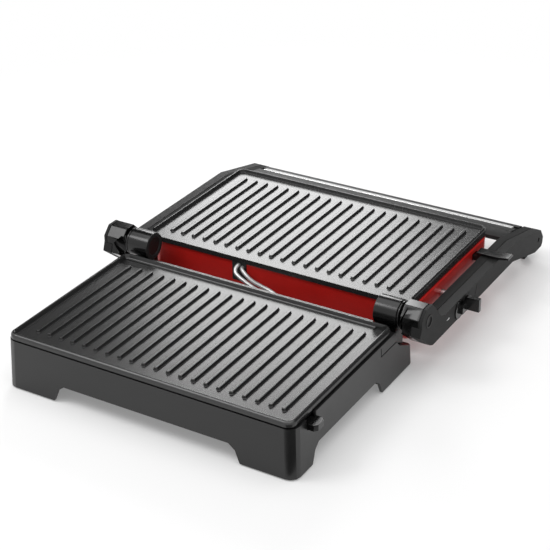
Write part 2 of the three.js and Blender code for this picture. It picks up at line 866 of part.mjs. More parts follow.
// Heater: a bent rod that lies just under its plate
function heater(front, rear, z) {
  const centre = z - heaterRadius - seatGap;
  const points = [
    [-heaterTailHalfWidth, rear], [-heaterHalfWidth, rear - heaterTailHalfWidth],
    [-heaterHalfWidth, (front + rear) / 2],
    [-heaterHalfWidth, front + heaterTailHalfWidth], [-heaterTailHalfWidth, front],
    [heaterTailHalfWidth, front],
    [heaterHalfWidth, front + heaterTailHalfWidth], [heaterHalfWidth, (front + rear) / 2],
    [heaterHalfWidth, rear - heaterTailHalfWidth], [heaterTailHalfWidth, rear],
  ].map(([x, y]) => new THREE.Vector3(x, y, centre));
  return tube(new THREE.CatmullRomCurve3(points), heaterRadius, heaterSides, heaterSteps);
}

function postSpots(front, rear) {
  const x = reflectorHalfWidth - postInset;
  return [[x, front + postInset], [-x, front + postInset], [x, rear - postInset], [-x, rear - postInset]];
}

function reflector(front, rear, bottom) {
  const tray = plan(reflectorHalfWidth, front, rear, plateCornerRadius);
  const inside = plan(
    reflectorHalfWidth - reflectorThickness, front + reflectorThickness, rear - reflectorThickness,
    plateCornerRadius,
  );
  return cut(
    prism('z', tray, bottom, bottom + reflectorRim),
    prism('z', inside, bottom + reflectorThickness, bottom + reflectorRim + overrun),
  );
}

function thermostat(y, top) {
  return join(
    rod('z', thermostatRadius + thermostatFlange, [0, y], top - thermostatFlangeHeight, top),
    rod('z', thermostatRadius, [0, y], top - thermostatHeight, top),
  );
}

const lowerReflectorBottom = panBottom - reflectorDrop;
const upperReflectorBottom = upperPanBottom - reflectorDrop;

function terminalBlock() {
  const rear = wellRear - terminalNotch;
  const body = block(
    [terminalX, terminalX + terminalLength], [rear - terminalWidth, rear],
    [coverTop, coverTop + terminalHeight],
  );
  const notches = [];
  for (let way = 1; way < terminalWays; way += 1) {
    const x = terminalX + (way * terminalLength) / terminalWays;
    notches.push(block(
      [x - terminalNotch / 2, x + terminalNotch / 2], [rear - terminalWidth - overrun, rear + overrun],
      [coverTop + terminalHeight / 2, coverTop + terminalHeight + overrun],
    ));
  }
  return cut(body, ...notches);
}

function mainsInlet() {
  const centre = [inletX, inletZ];
  const flangeStart = housingDepth + seatGap;
  const flangeEnd = flangeStart + inletFlangeThickness;
  const body = rod('y', inletRadius, centre, flangeStart - inletTail, flangeEnd);
  const flange = rod('y', inletFlangeRadius, centre, flangeStart, flangeEnd);
  const bore = rod('y', inletBoreRadius, centre, flangeEnd - inletBoreDepth, flangeEnd + overrun);
  return cut(join(body, flange), bore);
}

// Hinge: sleeves on the rear deck, a pin in each, and a collar between sleeve and arm
function hingeSleeve(side) {
  const barrel = rod(
    'x', sleeveRadius, [hingeY, hingeZ], ...span(side, sleeveInner, sleeveOuter),
    wideSides,
  );
  const near = hingeY - pedestalHalfDepth;
  const far = hingeY + pedestalHalfDepth;
  const pedestal = prism('x', [
    [near, deckHeight(near) + pedestalGap], [far, deckHeight(far) + pedestalGap], [far, hingeZ],
    [near, hingeZ],
  ], ...span(side, sleeveInner + pedestalMargin, sleeveOuter - pedestalMargin));
  const bore = rod(
    'x', boreRadius, [hingeY, hingeZ], ...span(side, sleeveInner - overrun, sleeveOuter + overrun),
  );
  return cut(join(barrel, pedestal), bore);
}

function hingePin(side) {
  return rod('x', pinRadius, [hingeY, hingeZ], ...span(side, sleeveInner + pinEndMargin, hubFace - seatGap));
}

function hubCollar(side) {
  const start = sleeveOuter + collarGap;
  const body = rod('x', collarRadius, [hingeY, hingeZ], ...span(side, start, start + collarThickness));
  const bore = rod(
    'x', boreRadius, [hingeY, hingeZ], ...span(side, start - overrun, start + collarThickness + overrun),
  );
  return cut(body, bore);
}

function hubPlug(side) {
  const low = armOuter - plugDepth;
  const body = rod('x', plugRadius, [hingeY, hingeZ], ...span(side, low, armOuter + plugProud));
  const dimple = rod(
    'x', plugRadius / 2, [hingeY, hingeZ],
    ...span(side, armOuter + plugProud - plugDimple, armOuter + plugProud + overrun),
  );
  return cut(body, dimple);
}

// Arms: an inner bar with the octagonal hub, and a cover over its outer side
function armOutline() {
  return [
    [hingeY - hubHalfFlat, hingeZ + hubFlat], [hingeY - hubFlat, hingeZ + hubHalfFlat],
    [hingeY - hubFlat, hingeZ],
    [hingeY - armNeckReach, hingeZ - armNeckDrop], [hingeY + armChinReach, armUnderside + armChinRise],
    [hingeY + armBellyOffset, armUnderside], [armKinkY - armChinRise, armUnderside],
    [armKinkY + armTipLowRun, armTipFloor], [armEnd - armTipLowReach, armTipFloor],
    [armEnd - armTipBendReach, armTipFloor + armTipBendRise], [armEnd, armTop - armTipMidDrop],
    [armTipY, armTop - armTipDrop], [armKinkY, armTop], [hingeY + armLevelOffset, armTop],
    [hingeY + armWebOffset, armTop + armWebRise], [hingeY + hubHalfFlat, hingeZ + hubFlat],
  ];
}

function armBar(side) {
  const bar = prism('x', armOutline(), ...span(side, armInner, armSplit));
  const hub = prism(
    'x', polygon(hubRadius, hingeY, hingeZ, hubSides, hubTurn), ...span(side, hubInner, hubFace - seatGap),
  );
  const bore = rod('x', boreRadius, [hingeY, hingeZ], ...span(side, hubInner - overrun, hubFace + overrun));
  const pinHole = rod(
    'x', lidPinRadius + seatGap, [lidPinY, lidPinZ], ...span(side, armInner - overrun, armSplit + overrun),
  );
  const screwHole = rod(
    'x', handleScrewRadius + seatGap, [handleScrewY, handleScrewZ],
    ...span(side, armInner - overrun, armSplit + overrun), smallSides,
  );
  const screwHead = rod(
    'x', handleScrewHeadRadius + seatGap, [handleScrewY, handleScrewZ],
    ...span(side, armSplit - handleScrewHeadThickness - seatGap, armSplit + overrun),
  );
  const solid = cut(join(bar, hub), bore, pinHole, screwHole, screwHead);
  return side > 0 ? cut(solid, leverShaftBore(armSplit - leverShaftHold, armSplit + overrun)) : solid;
}

const leverShaftHold = leverDiscProud + leverShaftLength - (armOuter - armSplit) + seatGap;

function leverShaftBore(low, high) {
  return rod('x', leverShaftRadius + seatGap, [leverY, leverZ], low, high);
}

function armCover(side) {
  const bar = prism('x', armOutline(), ...span(side, coverInner, armOuter));
  const hubRoom = prism(
    'x', polygon(hubRadius + seatGap, hingeY, hingeZ, hubSides, hubTurn),
    ...span(side, coverInner - overrun, hubFace),
  );
  const cap = prism(
    'x', polygon(hubRadius, hingeY, hingeZ, hubSides, hubTurn), ...span(side, hubFace, armOuter),
  );
  const plugSeat = rod(
    'x', plugRadius + seatGap, [hingeY, hingeZ],
    ...span(side, armOuter - plugDepth - seatGap, armOuter + overrun),
  );
  const solid = cut(join(cut(bar, hubRoom), cap), plugSeat);
  if (side < 0) return solid;
  const recess = rod(
    'x', leverDiscRadius + fitGap, [leverY, leverZ], armOuter - leverRecessDepth, armOuter + overrun,
    wideSides,
  );
  return cut(solid, recess, leverShaftBore(coverInner - overrun, armOuter));
}

function lidPin(side) {
  const headStart = shellInnerHalf - seatGap - lidPinHeadThickness;
  const head = rod(
    'x', lidPinHeadRadius, [lidPinY, lidPinZ], ...span(side, headStart, headStart + lidPinHeadThickness),
  );
  const shank = rod('x', lidPinRadius, [lidPinY, lidPinZ], ...span(side, headStart, armSplit - seatGap));
  return join(head, shank);
}

function restPad(side) {
  const low = armKinkY + restPadRun;
  const high = low + restPadLength;
  const underside = (y) => {
    const slope = (armUnderside - armTipFloor) / (armTipLowRun + armChinRise);
    return Math.max(armUnderside - (y - armKinkY + armChinRise) * slope, armTipFloor) - seatGap;
  };
  const bend = armKinkY + armTipLowRun;
  return prism('x', [
    [low, 0], [high, 0], [high, underside(high)], [bend, underside(bend)], [low, underside(low)],
  ], ...span(side, armInner + restPadMargin, armSplit));
}

// Handle bar with its bright strip, held by a screw at each end
function handleOutline() {
  const far = handleNear + handleLength;
  return [
    [handleNear, handleTop(handleNear)], [handleNear + handleNoseDrop, handleTop(handleNear) - handleNearDepth],
    [far - handleNoseDrop, handleTop(far) - handleThickness], [far, handleTop(far) - handleThickness / 2],
    [far, handleTop(far) - handleLedgeDrop],
    [far - handleLedgeRun + seatGap, handleTop(far - handleLedgeRun) - handleLedgeDrop],
    [stripEnd + seatGap, handleTop(stripEnd) - stripHeight - seatGap],
    [stripStart - seatGap, handleTop(stripStart) - stripHeight - seatGap],
    [stripStart - seatGap, handleTop(stripStart)],
  ].reverse();
}

function handleBar() {
  const bar = prism('x', handleOutline(), -handleHalf, handleHalf);
  const holes = [1, -1].map((side) => rod(
    'x', handleScrewRadius + seatGap, [handleScrewY, handleScrewZ],
    ...span(side, armSplit - handleScrewLength - seatGap, handleHalf + overrun), smallSides,
  ));
  return cut(bar, ...holes);
}

function handleStrip() {
  const half = handleHalf - stripEndMargin;
  return prism('x', [
    [stripStart, handleTop(stripStart) - stripHeight], [stripEnd, handleTop(stripEnd) - stripHeight],
    [stripEnd, handleTop(stripEnd)], [stripStart, handleTop(stripStart)],
  ], -half, half);
}

function handleScrew(side) {
  const centre = [handleScrewY, handleScrewZ];
  const headStart = armSplit - handleScrewHeadThickness;
  const head = rod('x', handleScrewHeadRadius, centre, ...span(side, headStart, armSplit), smallSides);
  const shank = rod(
    'x', handleScrewRadius, centre, ...span(side, armSplit - handleScrewLength, armSplit), smallSides,
  );
  return join(head, shank);
}

// Lid shell: a deep tray under the upper plate
function shellLevels(inset, top) {
  const levels = [];
  const edge = shellEdgeRadius - inset;
  for (let step = 0; step <= shellEdgeSteps; step += 1) {
    const angle = (step * quarterTurn) / shellEdgeSteps;
    const draw = inset + edge * (1 - Math.sin(angle));
    levels.push({ draw, z: shellBottom + inset + edge * (1 - Math.cos(angle)) });
  }
  levels.push({ draw: inset, z: top });
  return levels.map(({ draw, z }) => ({
    outline: plan(shellHalfWidth - draw, shellNear + draw, shellFar - draw, shellCornerRadius - draw),
    z,
  }));
}

const lamps = [-lampX, lampX].map((x) => [x, shellFar - lampFarInset]);
const upperButtonSpan = [upperButtonY - buttonStemHalfWidth, upperButtonY + buttonStemHalfWidth];
const upperStemSpan = [upperStemLow, upperStemLow + buttonStemHeight];
const upperWebInner = armInner - seatGap - upperWebThickness;
const upperSpringX = upperWebInner - upperStemLength - springLength;

function lidShell() {
  const shell = cut(loft(shellLevels(0, shellTop)), loft(shellLevels(shellWall, shellTop + overrun)));
  const posts = postSpots(shellNear + reflectorMargin, shellFar - reflectorMargin).map((spot) => rod(
    'z', postRadius, spot, shellBottom + shellWall / 2, upperReflectorBottom, smallSides,
  ));
  const springPost = block(
    [upperSpringX - springPostThickness, upperSpringX],
    [upperButtonY - springPostHalfWidth, upperButtonY + springPostHalfWidth],
    [shellBottom + shellWall / 2, upperStemLow + buttonStemHeight],
  );
  const notch = block(
    [notchLeft, notchRight], [shellNear - overrun, shellNear + shellWall + overrun],
    [notchFloor, shellTop + overrun],
  );
  const pinHoles = rod(
    'x', lidPinRadius + seatGap, [lidPinY, lidPinZ], -shellHalfWidth - overrun, shellHalfWidth + overrun,
  );
  const stemHole = block(
    [shellInnerHalf - overrun, shellHalfWidth + overrun],
    [upperButtonSpan[0] - fitGap, upperButtonSpan[1] + fitGap],
    [upperStemSpan[0] - fitGap, upperStemSpan[1] + fitGap],
  );
  const lampHoles = lamps.map(
    (spot) => rod('z', lampRadius + seatGap, spot, shellBottom - overrun, shellFloor + overrun),
  );
  return cut(join(shell, ...posts, springPost), notch, pinHoles, stemHole, ...lampHoles);
}

function lamp(spot) {
  return join(
    rod('z', lampRadius, spot, shellBottom + seatGap, shellFloor + lampBody),
    rod('z', lampFlangeRadius, spot, shellFloor + seatGap, shellFloor + seatGap + lampFlangeThickness),
  );
}

// Link leads: two bushes and the two leads that run between them
const baseBushCentre = [baseBushX + baseBushWidth / 2, baseBushZ + baseBushHeight / 2];

function baseBush() {
  const front = rearFaceY + seatGap;
  const body = block(
    [baseBushX, baseBushX + baseBushWidth], [front, front + baseBushDepth],
    [baseBushZ, baseBushZ + baseBushHeight],
  );
  const stem = rod(
    'y', baseBushStemRadius, baseBushCentre, rearFaceY - housingWall - fitGap, front + baseBushDepth / 2,
    smallSides,
  );
  return join(body, stem);
}

function lidBush() {
  return block(
    [notchLeft + seatGap, notchRight - seatGap],
    [shellNear - lidBushProud, shellNear + shellWall + lidBushInset],
    [notchFloor + seatGap, shellTop - seatGap],
  );
}

function linkLead(route) {
  const curve = new THREE.CatmullRomCurve3(route.map(([x, y, z]) => new THREE.Vector3(x, y, z)));
  return tube(curve, leadRadius, leadSides, leadSteps);
}

// Release buttons and their springs
class SpringCurve extends THREE.Curve {
  constructor(start, end, y, z) {
    super();
    this.start = start;
    this.end = end;
    this.centre = [y, z];
  }

  getPoint(share, target = new THREE.Vector3()) {
    const angle = share * springTurns * fullTurn;
    return target.set(
      this.start + (this.end - this.start) * share,
      this.centre[0] + springRadius * Math.cos(angle),
      this.centre[1] + springRadius * Math.sin(angle),
    );
  }
}

function spring(start, end, y, z) {
  const inset = springWire + seatGap;
  const curve = new SpringCurve(start + inset, end - inset, y, z);
  return tube(curve, springWire, springSides, springTurns * springSteps);
}

const lowerButtonOuter = outerHalfAt(lowerButtonLow) + lowerButtonReach;
const lowerPaddleInner = lowerNotchInner + buttonTravel + fitGap;
const lowerStemInner = lowerPaddleInner - lowerStemLength;
const springPostX = lowerStemInner - springLength;

function lowerButton() {
  const chamfer = lowerButtonChamfer;
  const paddle = prism('z', [
    [lowerPaddleInner, lowerButtonSpan[0]], [lowerButtonOuter - chamfer, lowerButtonSpan[0]],
    [lowerButtonOuter, lowerButtonSpan[0] + chamfer], [lowerButtonOuter, lowerButtonSpan[1] - chamfer],
    [lowerButtonOuter - chamfer, lowerButtonSpan[1]], [lowerPaddleInner, lowerButtonSpan[1]],
  ], lowerButtonLow, lowerButtonHigh);
  const stem = block(
    [lowerStemInner, lowerPaddleInner + overrun],
    [lowerButtonY - buttonStemHalfWidth, lowerButtonY + buttonStemHalfWidth],
    [lowerStemLow, lowerStemLow + buttonStemHeight],
  );
  return join(paddle, stem);
}

function upperButton() {
  const low = armTop + upperButtonClearance;
  const outer = armOuter + upperButtonReach;
  const range = [upperButtonY - upperButtonHalfWidth, upperButtonY + upperButtonHalfWidth];
  const paddle = prism('y', [
    [upperWebInner, low], [armOuter, low], [outer, low + upperButtonRise],
    [outer, low + upperButtonRise + upperButtonThickness], [armOuter, low + upperButtonThickness],
    [upperWebInner, low + upperButtonThickness],
  ], ...range);
  const web = block(
    [upperWebInner, upperWebInner + upperWebThickness], upperButtonSpan,
    [upperStemLow, low + upperButtonThickness / 2],
  );
  const stem = block(
    [upperWebInner - upperStemLength, upperWebInner + upperWebThickness], upperButtonSpan, upperStemSpan,
  );
  return join(paddle, web, stem);
}

// Release lever: a disc on a shaft, with a finger fin behind it
function releaseLever() {
  const discStart = armOuter - leverRecessDepth + seatGap;
  const shaft = rod(
    'x', leverShaftRadius, [leverY, leverZ], leverFace - leverShaftLength - leverDiscProud,
    discStart + seatGap,
  );
  const disc = rod(
    'x', leverDiscRadius, [leverY, leverZ], discStart, leverFace, wideSides,
  );
  const bar = block(
    [leverFace - leverDiscProud / 2, leverFace + leverArmThickness], [leverY, leverY + leverArmLength],
    [leverZ - leverArmHalfHeight, leverZ + leverArmHalfHeight],
  );
  const fin = block(
    [leverFace - leverDiscProud / 2, leverReach],
    [leverY + leverArmLength - leverFinThickness, leverY + leverArmLength],
    [leverZ - leverFinLow, leverZ + leverFinHigh],
  );
  return join(shaft, disc, bar, fin);
}

// Assembly
addPiece(base, 'base_housing', baseHousing(), finish.housing);
addPiece(base, 'base_bottom_cover', bottomCover(), finish.black);
for (const tub of footTubs) {
  const sideName = tub.side > 0 ? 'right' : 'left';
  addPiece(base, `foot_pad_${tub.place}_${sideName}`, footPad(tub), finish.rubber);
}
screwSpots.forEach((spot, index) => {
  addPiece(base, `cover_screw_${index + 1}`, coverScrew(spot), finish.steel);
});
addPiece(base, 'lower_plate', lowerPlate(), finish.plate);
addPiece(
  base, 'lower_heater', heater(heaterFrontMargin, wellRear - heaterRearMargin, panBottom), finish.steel,
);
addPiece(
  base, 'lower_reflector',
  reflector(plateFrontInset + reflectorMargin, plateRear - reflectorMargin, lowerReflectorBottom),
  finish.steel,
);
addPiece(
  base, 'lower_thermostat', thermostat((plateFrontInset + plateRear) / 2, panBottom - seatGap),
  finish.ceramic,
);
addPiece(base, 'terminal_block', terminalBlock(), finish.ceramic);
addPiece(base, 'mains_inlet', mainsInlet(), finish.rubber);
addPiece(base, 'link_bush_base', baseBush(), finish.rubber);
addPiece(base, 'link_lead_outer', linkLead(outerLeadRoute), finish.lead);
addPiece(base, 'link_lead_inner', linkLead(innerLeadRoute), finish.lead);
addPiece(base, 'lower_release_button', lowerButton(), finish.black);
const lowerSpringZ = lowerStemLow + buttonStemHeight / 2;
addPiece(
  base, 'lower_button_spring', spring(springPostX, lowerStemInner, lowerButtonY, lowerSpringZ), finish.steel,
);

addPiece(lid, 'lid_shell', lidShell(), finish.shell);
addPiece(lid, 'upper_plate', upperPlate(), finish.plate);
addPiece(
  lid, 'upper_heater', heater(shellNear + heaterFrontMargin, shellFar - heaterRearMargin, upperPanBottom),
  finish.steel,
);
addPiece(
  lid, 'upper_reflector',
  reflector(shellNear + reflectorMargin, shellFar - reflectorMargin, upperReflectorBottom), finish.steel,
);
addPiece(
  lid, 'upper_thermostat', thermostat((shellNear + shellFar) / 2, upperPanBottom - seatGap), finish.ceramic,
);
addPiece(lid, 'link_bush_lid', lidBush(), finish.rubber);
addPiece(lid, 'power_lamp', lamp(lamps[0]), finish.lamp);
addPiece(lid, 'ready_lamp', lamp(lamps[1]), finish.lamp);
addPiece(lid, 'upper_release_button', upperButton(), finish.black);
const upperSpringZ = upperStemLow + buttonStemHeight / 2;
addPiece(
  lid, 'upper_button_spring',
  spring(upperSpringX, upperWebInner - upperStemLength, upperButtonY, upperSpringZ), finish.steel,
);
addPiece(lid, 'handle_bar', handleBar(), finish.handle);
addPiece(lid, 'handle_strip', handleStrip(), finish.chrome);
addPiece(lid, 'release_lever', releaseLever(), finish.black);

for (const [side, sideName] of [[1, 'right'], [-1, 'left']]) {
  addPiece(base, `hinge_sleeve_${sideName}`, hingeSleeve(side), finish.gloss);
  addPiece(base, `hinge_pin_${sideName}`, hingePin(side), finish.steel);
  addPiece(lid, `hub_collar_${sideName}`, hubCollar(side), finish.gloss);
  addPiece(lid, `hub_plug_${sideName}`, hubPlug(side), finish.arm);
  addPiece(lid, `arm_${sideName}`, armBar(side), finish.arm);
  addPiece(lid, `arm_cover_${sideName}`, armCover(side), finish.arm);
  addPiece(lid, `lid_pin_${sideName}`, lidPin(side), finish.steel);
  addPiece(lid, `rest_pad_${sideName}`, restPad(side), finish.rubber);
  addPiece(lid, `handle_screw_${sideName}`, handleScrew(side), finish.steel);
}

// The origin is the middle of the whole object's box, on the worktop
grill.position.set((armOuter + plugProud - leverReach) / 2, -armEnd / 2, 0);
grill.updateMatrixWorld(true);

export default grill;
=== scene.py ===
"""Dressed model of an electric contact grill that lies open flat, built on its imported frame.

Sizes are in the part's own millimetres: X to the right, Y from the front edge of the base to the
rear, Z up from the worktop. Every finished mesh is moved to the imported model's metres.
"""

import logging
import math
from collections.abc import Callable, Iterable, Sequence
from dataclasses import dataclass
from enum import Enum

import bmesh
import bpy
from mathutils import Matrix, Vector


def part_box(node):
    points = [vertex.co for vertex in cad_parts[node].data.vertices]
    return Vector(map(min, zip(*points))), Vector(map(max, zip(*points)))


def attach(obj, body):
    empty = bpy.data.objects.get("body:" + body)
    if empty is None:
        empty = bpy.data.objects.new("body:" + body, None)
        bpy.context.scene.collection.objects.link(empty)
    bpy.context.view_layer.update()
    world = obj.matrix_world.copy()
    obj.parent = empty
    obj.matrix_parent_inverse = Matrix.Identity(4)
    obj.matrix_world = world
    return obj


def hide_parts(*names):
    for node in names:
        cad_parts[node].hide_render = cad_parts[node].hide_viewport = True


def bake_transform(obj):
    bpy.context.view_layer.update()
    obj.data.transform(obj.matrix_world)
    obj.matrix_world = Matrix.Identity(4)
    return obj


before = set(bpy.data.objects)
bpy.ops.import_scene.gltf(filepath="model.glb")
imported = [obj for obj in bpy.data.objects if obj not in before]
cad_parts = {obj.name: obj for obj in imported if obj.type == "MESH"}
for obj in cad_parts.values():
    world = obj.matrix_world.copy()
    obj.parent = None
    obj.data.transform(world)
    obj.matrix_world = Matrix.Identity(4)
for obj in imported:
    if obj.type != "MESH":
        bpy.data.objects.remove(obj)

log = logging.getLogger("grill")

Point = tuple[float, float]
Spot = tuple[float, float, float]
Outline = tuple[Point, ...]
Colour = tuple[float, float, float, float]

PHOTO_SIDE = 550
SENSOR_WIDTH = 36.0
METRES = 0.001
MERGE_DISTANCE = 0.004
COPY_FLAT_ANGLE = 0.6
CUT_FLAT_ANGLE = 0.3
SHARP_ANGLE = 32.0
EDGE_ANGLE = 31.0
EDGE_STEPS = 3
CORNER_STEPS = 8
TURN_STEPS = 64
SLIVER = 0.0001
ROUGHNESS_PATCH = 14.0
NOISE_ROUGHNESS = 0.55
FINE_DETAIL = 3.0
LINE_DETAIL = 4.0
UP = Vector((0.0, 0.0, 1.0))


class Body(Enum):
    """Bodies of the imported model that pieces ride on."""

    BASE = "base"
    LID = "lid"
    LEVER = "lever"
    LOWER_BUTTON = "lower_button"
    UPPER_BUTTON = "upper_button"


class Axis(Enum):
    """Direction that an outline is drawn along."""

    X = "x"
    Y = "y"
    Z = "z"

    def place(self, u: float, v: float, along: float) -> Vector:
        """Place of an outline's point at a distance along the axis."""
        if self is Axis.X:
            return Vector((along, u, v))
        if self is Axis.Y:
            return Vector((u, along, v))
        return Vector((u, v, along))

    def direction(self) -> Vector:
        """Unit vector of the axis."""
        return self.place(0.0, 0.0, 1.0)


class Side(Enum):
    """Right or left half of the grill."""

    RIGHT = 1
    LEFT = -1

    @property
    def word(self) -> str:
        """Word that ends the names of this side's pieces."""
        return "right" if self is Side.RIGHT else "left"

    def span(self, inner: float, outer: float) -> Point:
        """Range from an inner to an outer distance on this side."""
        return (inner, outer) if self is Side.RIGHT else (-outer, -inner)


class Datum:
    """Link between the part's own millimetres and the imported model's metres."""

    def __init__(self) -> None:
        """Finds the part's zero point from the box of the base housing."""
        low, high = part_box("base_housing")
        middle = (low.x + high.x) / 2
        shift = Matrix.Translation((middle, low.y, 0.0))
        self.to_row = shift @ Matrix.Scale(METRES, 4)
        self.to_part = self.to_row.inverted()

    def point(self, spot: Spot) -> Vector:
        """Row place, in metres, of a spot in the part's millimetres."""
        return self.to_row @ Vector(spot)


DATUM = Datum()


def linked(name: str, data: bpy.types.ID) -> bpy.types.Object:
    """New object that the scene holds."""
    made = bpy.data.objects.new(name, data)
    bpy.context.scene.collection.objects.link(made)
    return made


def mesh_object(name: str, bm: bmesh.types.BMesh) -> bpy.types.Object:
    """New object that takes over a bmesh's faces."""
    mesh = bpy.data.meshes.new(name)
    bm.to_mesh(mesh)
    bm.free()
    return linked(name, mesh)


def aimed(place: Vector, target: Vector) -> Matrix:
    """Pose at a place that looks at a target."""
    turn = (target - place).to_track_quat("-Z", "Y")
    return Matrix.Translation(place) @ turn.to_matrix().to_4x4()


class Form:
    """A shape in the part's own millimetres, made and changed with bmesh operators."""

    def __init__(self) -> None:
        """Starts an empty shape."""
        self.bm = bmesh.new()

    @classmethod
    def copied(cls, node: str) -> "Form":
        """Copy of a CAD node in which triangles of one plane are one face."""
        form = cls()
        form.bm.from_mesh(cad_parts[node].data)
        bmesh.ops.transform(form.bm, matrix=DATUM.to_part, verts=form.bm.verts)
        form._merge(COPY_FLAT_ANGLE)
        return form

    @classmethod
    def panel(cls, half_width: float, front: float, rear: float, radius: float, z: float) -> "Form":
        """Level rounded rectangle.

        Args:
            half_width: Half of its width.
            front: Y of its front edge.
            rear: Y of its rear edge.
            radius: Radius of its corners.
            z: Height.

        Returns:
            One face that looks up.
        """
        form = cls()
        bmesh.ops.create_grid(form.bm, x_segments=1, y_segments=1, size=1.0)
        centre = Matrix.Translation((0.0, (front + rear) / 2, z))
        scale = Matrix.Diagonal((half_width, (rear - front) / 2, 1.0, 1.0))
        bmesh.ops.transform(form.bm, matrix=centre @ scale, verts=form.bm.verts)
        bmesh.ops.bevel(
            form.bm, geom=list(form.bm.verts), offset=radius, offset_type="OFFSET",
            affect="VERTICES", segments=CORNER_STEPS, profile=0.5, material=-1,
        )
        return form

    @classmethod
    def stadium(cls, half_width: float, front: float, rear: float, z: float, segments: int) -> "Form":
        """Level strip along Y with round ends.

        Args:
            half_width: Half of its width, and the radius of its ends.
            front: Y of its front end.
            rear: Y of its rear end.
            z: Height.
            segments: Faces round both ends together.

        Returns:
            One face that looks up.
        """
        form = cls()
        bmesh.ops.create_circle(form.bm, cap_ends=True, segments=segments, radius=half_width)
        bmesh.ops.rotate(
            form.bm, verts=form.bm.verts, cent=(0, 0, 0),
            matrix=Matrix.Rotation(math.pi / segments, 3, "Z"),
        )
        far = [vert for vert in form.bm.verts if vert.co.y > 0]
        near = [vert for vert in form.bm.verts if vert.co.y < 0]
        bmesh.ops.translate(form.bm, verts=far, vec=(0.0, rear - half_width, z))
        bmesh.ops.translate(form.bm, verts=near, vec=(0.0, front + half_width, z))
        return form

    @classmethod
    def prism(cls, along: Axis, outline: Sequence[Point], low: float, high: float) -> "Form":
        """Outline drawn along an axis.

        Args:
            along: Axis that it is drawn along.
            outline: Its points, as (y, z), (x, z) or (x, y).
            low: Where it starts.
            high: Where it ends.

        Returns:
            A closed shape.
        """
        form = cls()
        form.bm.faces.new([form.bm.verts.new(along.place(u, v, low)) for u, v in outline])
        form._extrude(along.direction() * (high - low))
        return form

    @classmethod
    def block(cls, x: Point, y: Point, z: Point) -> "Form":
        """Rectangular block between three pairs of distances."""
        outline = [(x[0], y[0]), (x[1], y[0]), (x[1], y[1]), (x[0], y[1])]
        return cls.prism(Axis.Z, outline, *z)

    @classmethod
    def turned(cls, along: Axis, centre: Point, profile: Sequence[Point], steps: int) -> "Form":
        """Shape turned about an axis.

        Args:
            along: Direction of the axis.
            centre: Place of the axis in the plane across it.
            profile: (radius, place along the axis) from one end to the other.
            steps: Faces round the axis.

        Returns:
            A closed shape.
        """
        form = cls()
        u, v = centre
        verts = [form.bm.verts.new(along.place(u + radius, v, place)) for radius, place in profile]
        edges = [form.bm.edges.new(pair) for pair in zip(verts, verts[1:])]
        bmesh.ops.spin(
            form.bm, geom=verts + edges, cent=along.place(u, v, 0.0), axis=along.direction(),
            angle=math.tau, steps=steps, use_merge=True,
        )
        return form.closed()

    def _extrude(self, vector: Vector) -> None:
        """Draws the lone face along a vector to a closed shape."""
        made = bmesh.ops.extrude_face_region(self.bm, geom=list(self.bm.faces), use_keep_orig=True)
        verts = [item for item in made["geom"] if isinstance(item, bmesh.types.BMVert)]
        bmesh.ops.translate(self.bm, verts=verts, vec=vector)
        bmesh.ops.recalc_face_normals(self.bm, faces=self.bm.faces)

    def _merge(self, angle: float) -> None:
        """Joins close points, and faces that meet at less than an angle in degrees."""
        bmesh.ops.remove_doubles(self.bm, verts=self.bm.verts, dist=MERGE_DISTANCE)
        bmesh.ops.dissolve_limit(
            self.bm, angle_limit=math.radians(angle), use_dissolve_boundaries=False,
            verts=self.bm.verts, edges=self.bm.edges,
        )

    def closed(self) -> "Form":
        """Joins close points and turns every face outwards."""
        bmesh.ops.remove_doubles(self.bm, verts=self.bm.verts, dist=MERGE_DISTANCE)
        bmesh.ops.recalc_face_normals(self.bm, faces=self.bm.faces)
        return self

    def face_at(self, direction: Vector) -> bmesh.types.BMFace:
        """The face that lies furthest out in a direction."""
        self.bm.faces.ensure_lookup_table()
        self.bm.normal_update()
        return max(self.bm.faces, key=lambda face: face.calc_center_median().dot(direction))

    def step(self, face: bmesh.types.BMFace, steps: Sequence[Point]) -> None:
        """Carries a face through a stepped profile.

        Args:
            face: Face at the end of the shape.
            steps: (distance inwards, distance along the face's normal) of each step.
        """
        for inward, along in steps:
            bmesh.ops.inset_region(
                self.bm, faces=[face], thickness=inward, depth=along, use_even_offset=True,
                use_boundary=True,
            )

    def solid_from_face(self, height: float) -> bmesh.types.BMFace:
        """Raises the lone face to a closed slab and returns its top face."""
        self._extrude(UP * height)
        return self.face_at(UP)

    def soften(
        self, width: float, segments: int = 2, angle: float = EDGE_ANGLE,
        where: Callable[[Vector], bool] | None = None, shortest: float = 0.0,
    ) -> "Form":
        """Rounds the sharp edges.

        Args:
            width: Width of the rounding.
            segments: Faces across it.
            angle: Angle in degrees from which an edge counts as sharp.
            where: Test on an edge's middle, or None for all.
            shortest: Length under which an edge is left as it is.

        Returns:
            The shape itself.
        """
        edges = [
            edge for edge in self.bm.edges
            if len(edge.link_faces) == 2
            and edge.calc_face_angle(0.0) > math.radians(angle)
            and edge.calc_length() > shortest
            and (where is None or where((edge.verts[0].co + edge.verts[1].co) / 2))
        ]
        bmesh.ops.bevel(
            self.bm, geom=edges, offset=width, offset_type="OFFSET", affect="EDGES",
            segments=segments, profile=0.5, material=-1, clamp_overlap=True,
        )
        return self

    def add(self, other: "Form") -> "Form":
        """Takes another shape's faces in."""
        spare = bpy.data.meshes.new("spare")
        other.bm.to_mesh(spare)
        self.bm.from_mesh(spare)
        bpy.data.meshes.remove(spare)
        other.bm.free()
        return self

    def twin(self, vector: Spot) -> "Form":
        """Copy of the shape, moved by a vector."""
        other = Form()
        other.bm = self.bm.copy()
        bmesh.ops.translate(other.bm, verts=other.bm.verts, vec=vector)
        return other

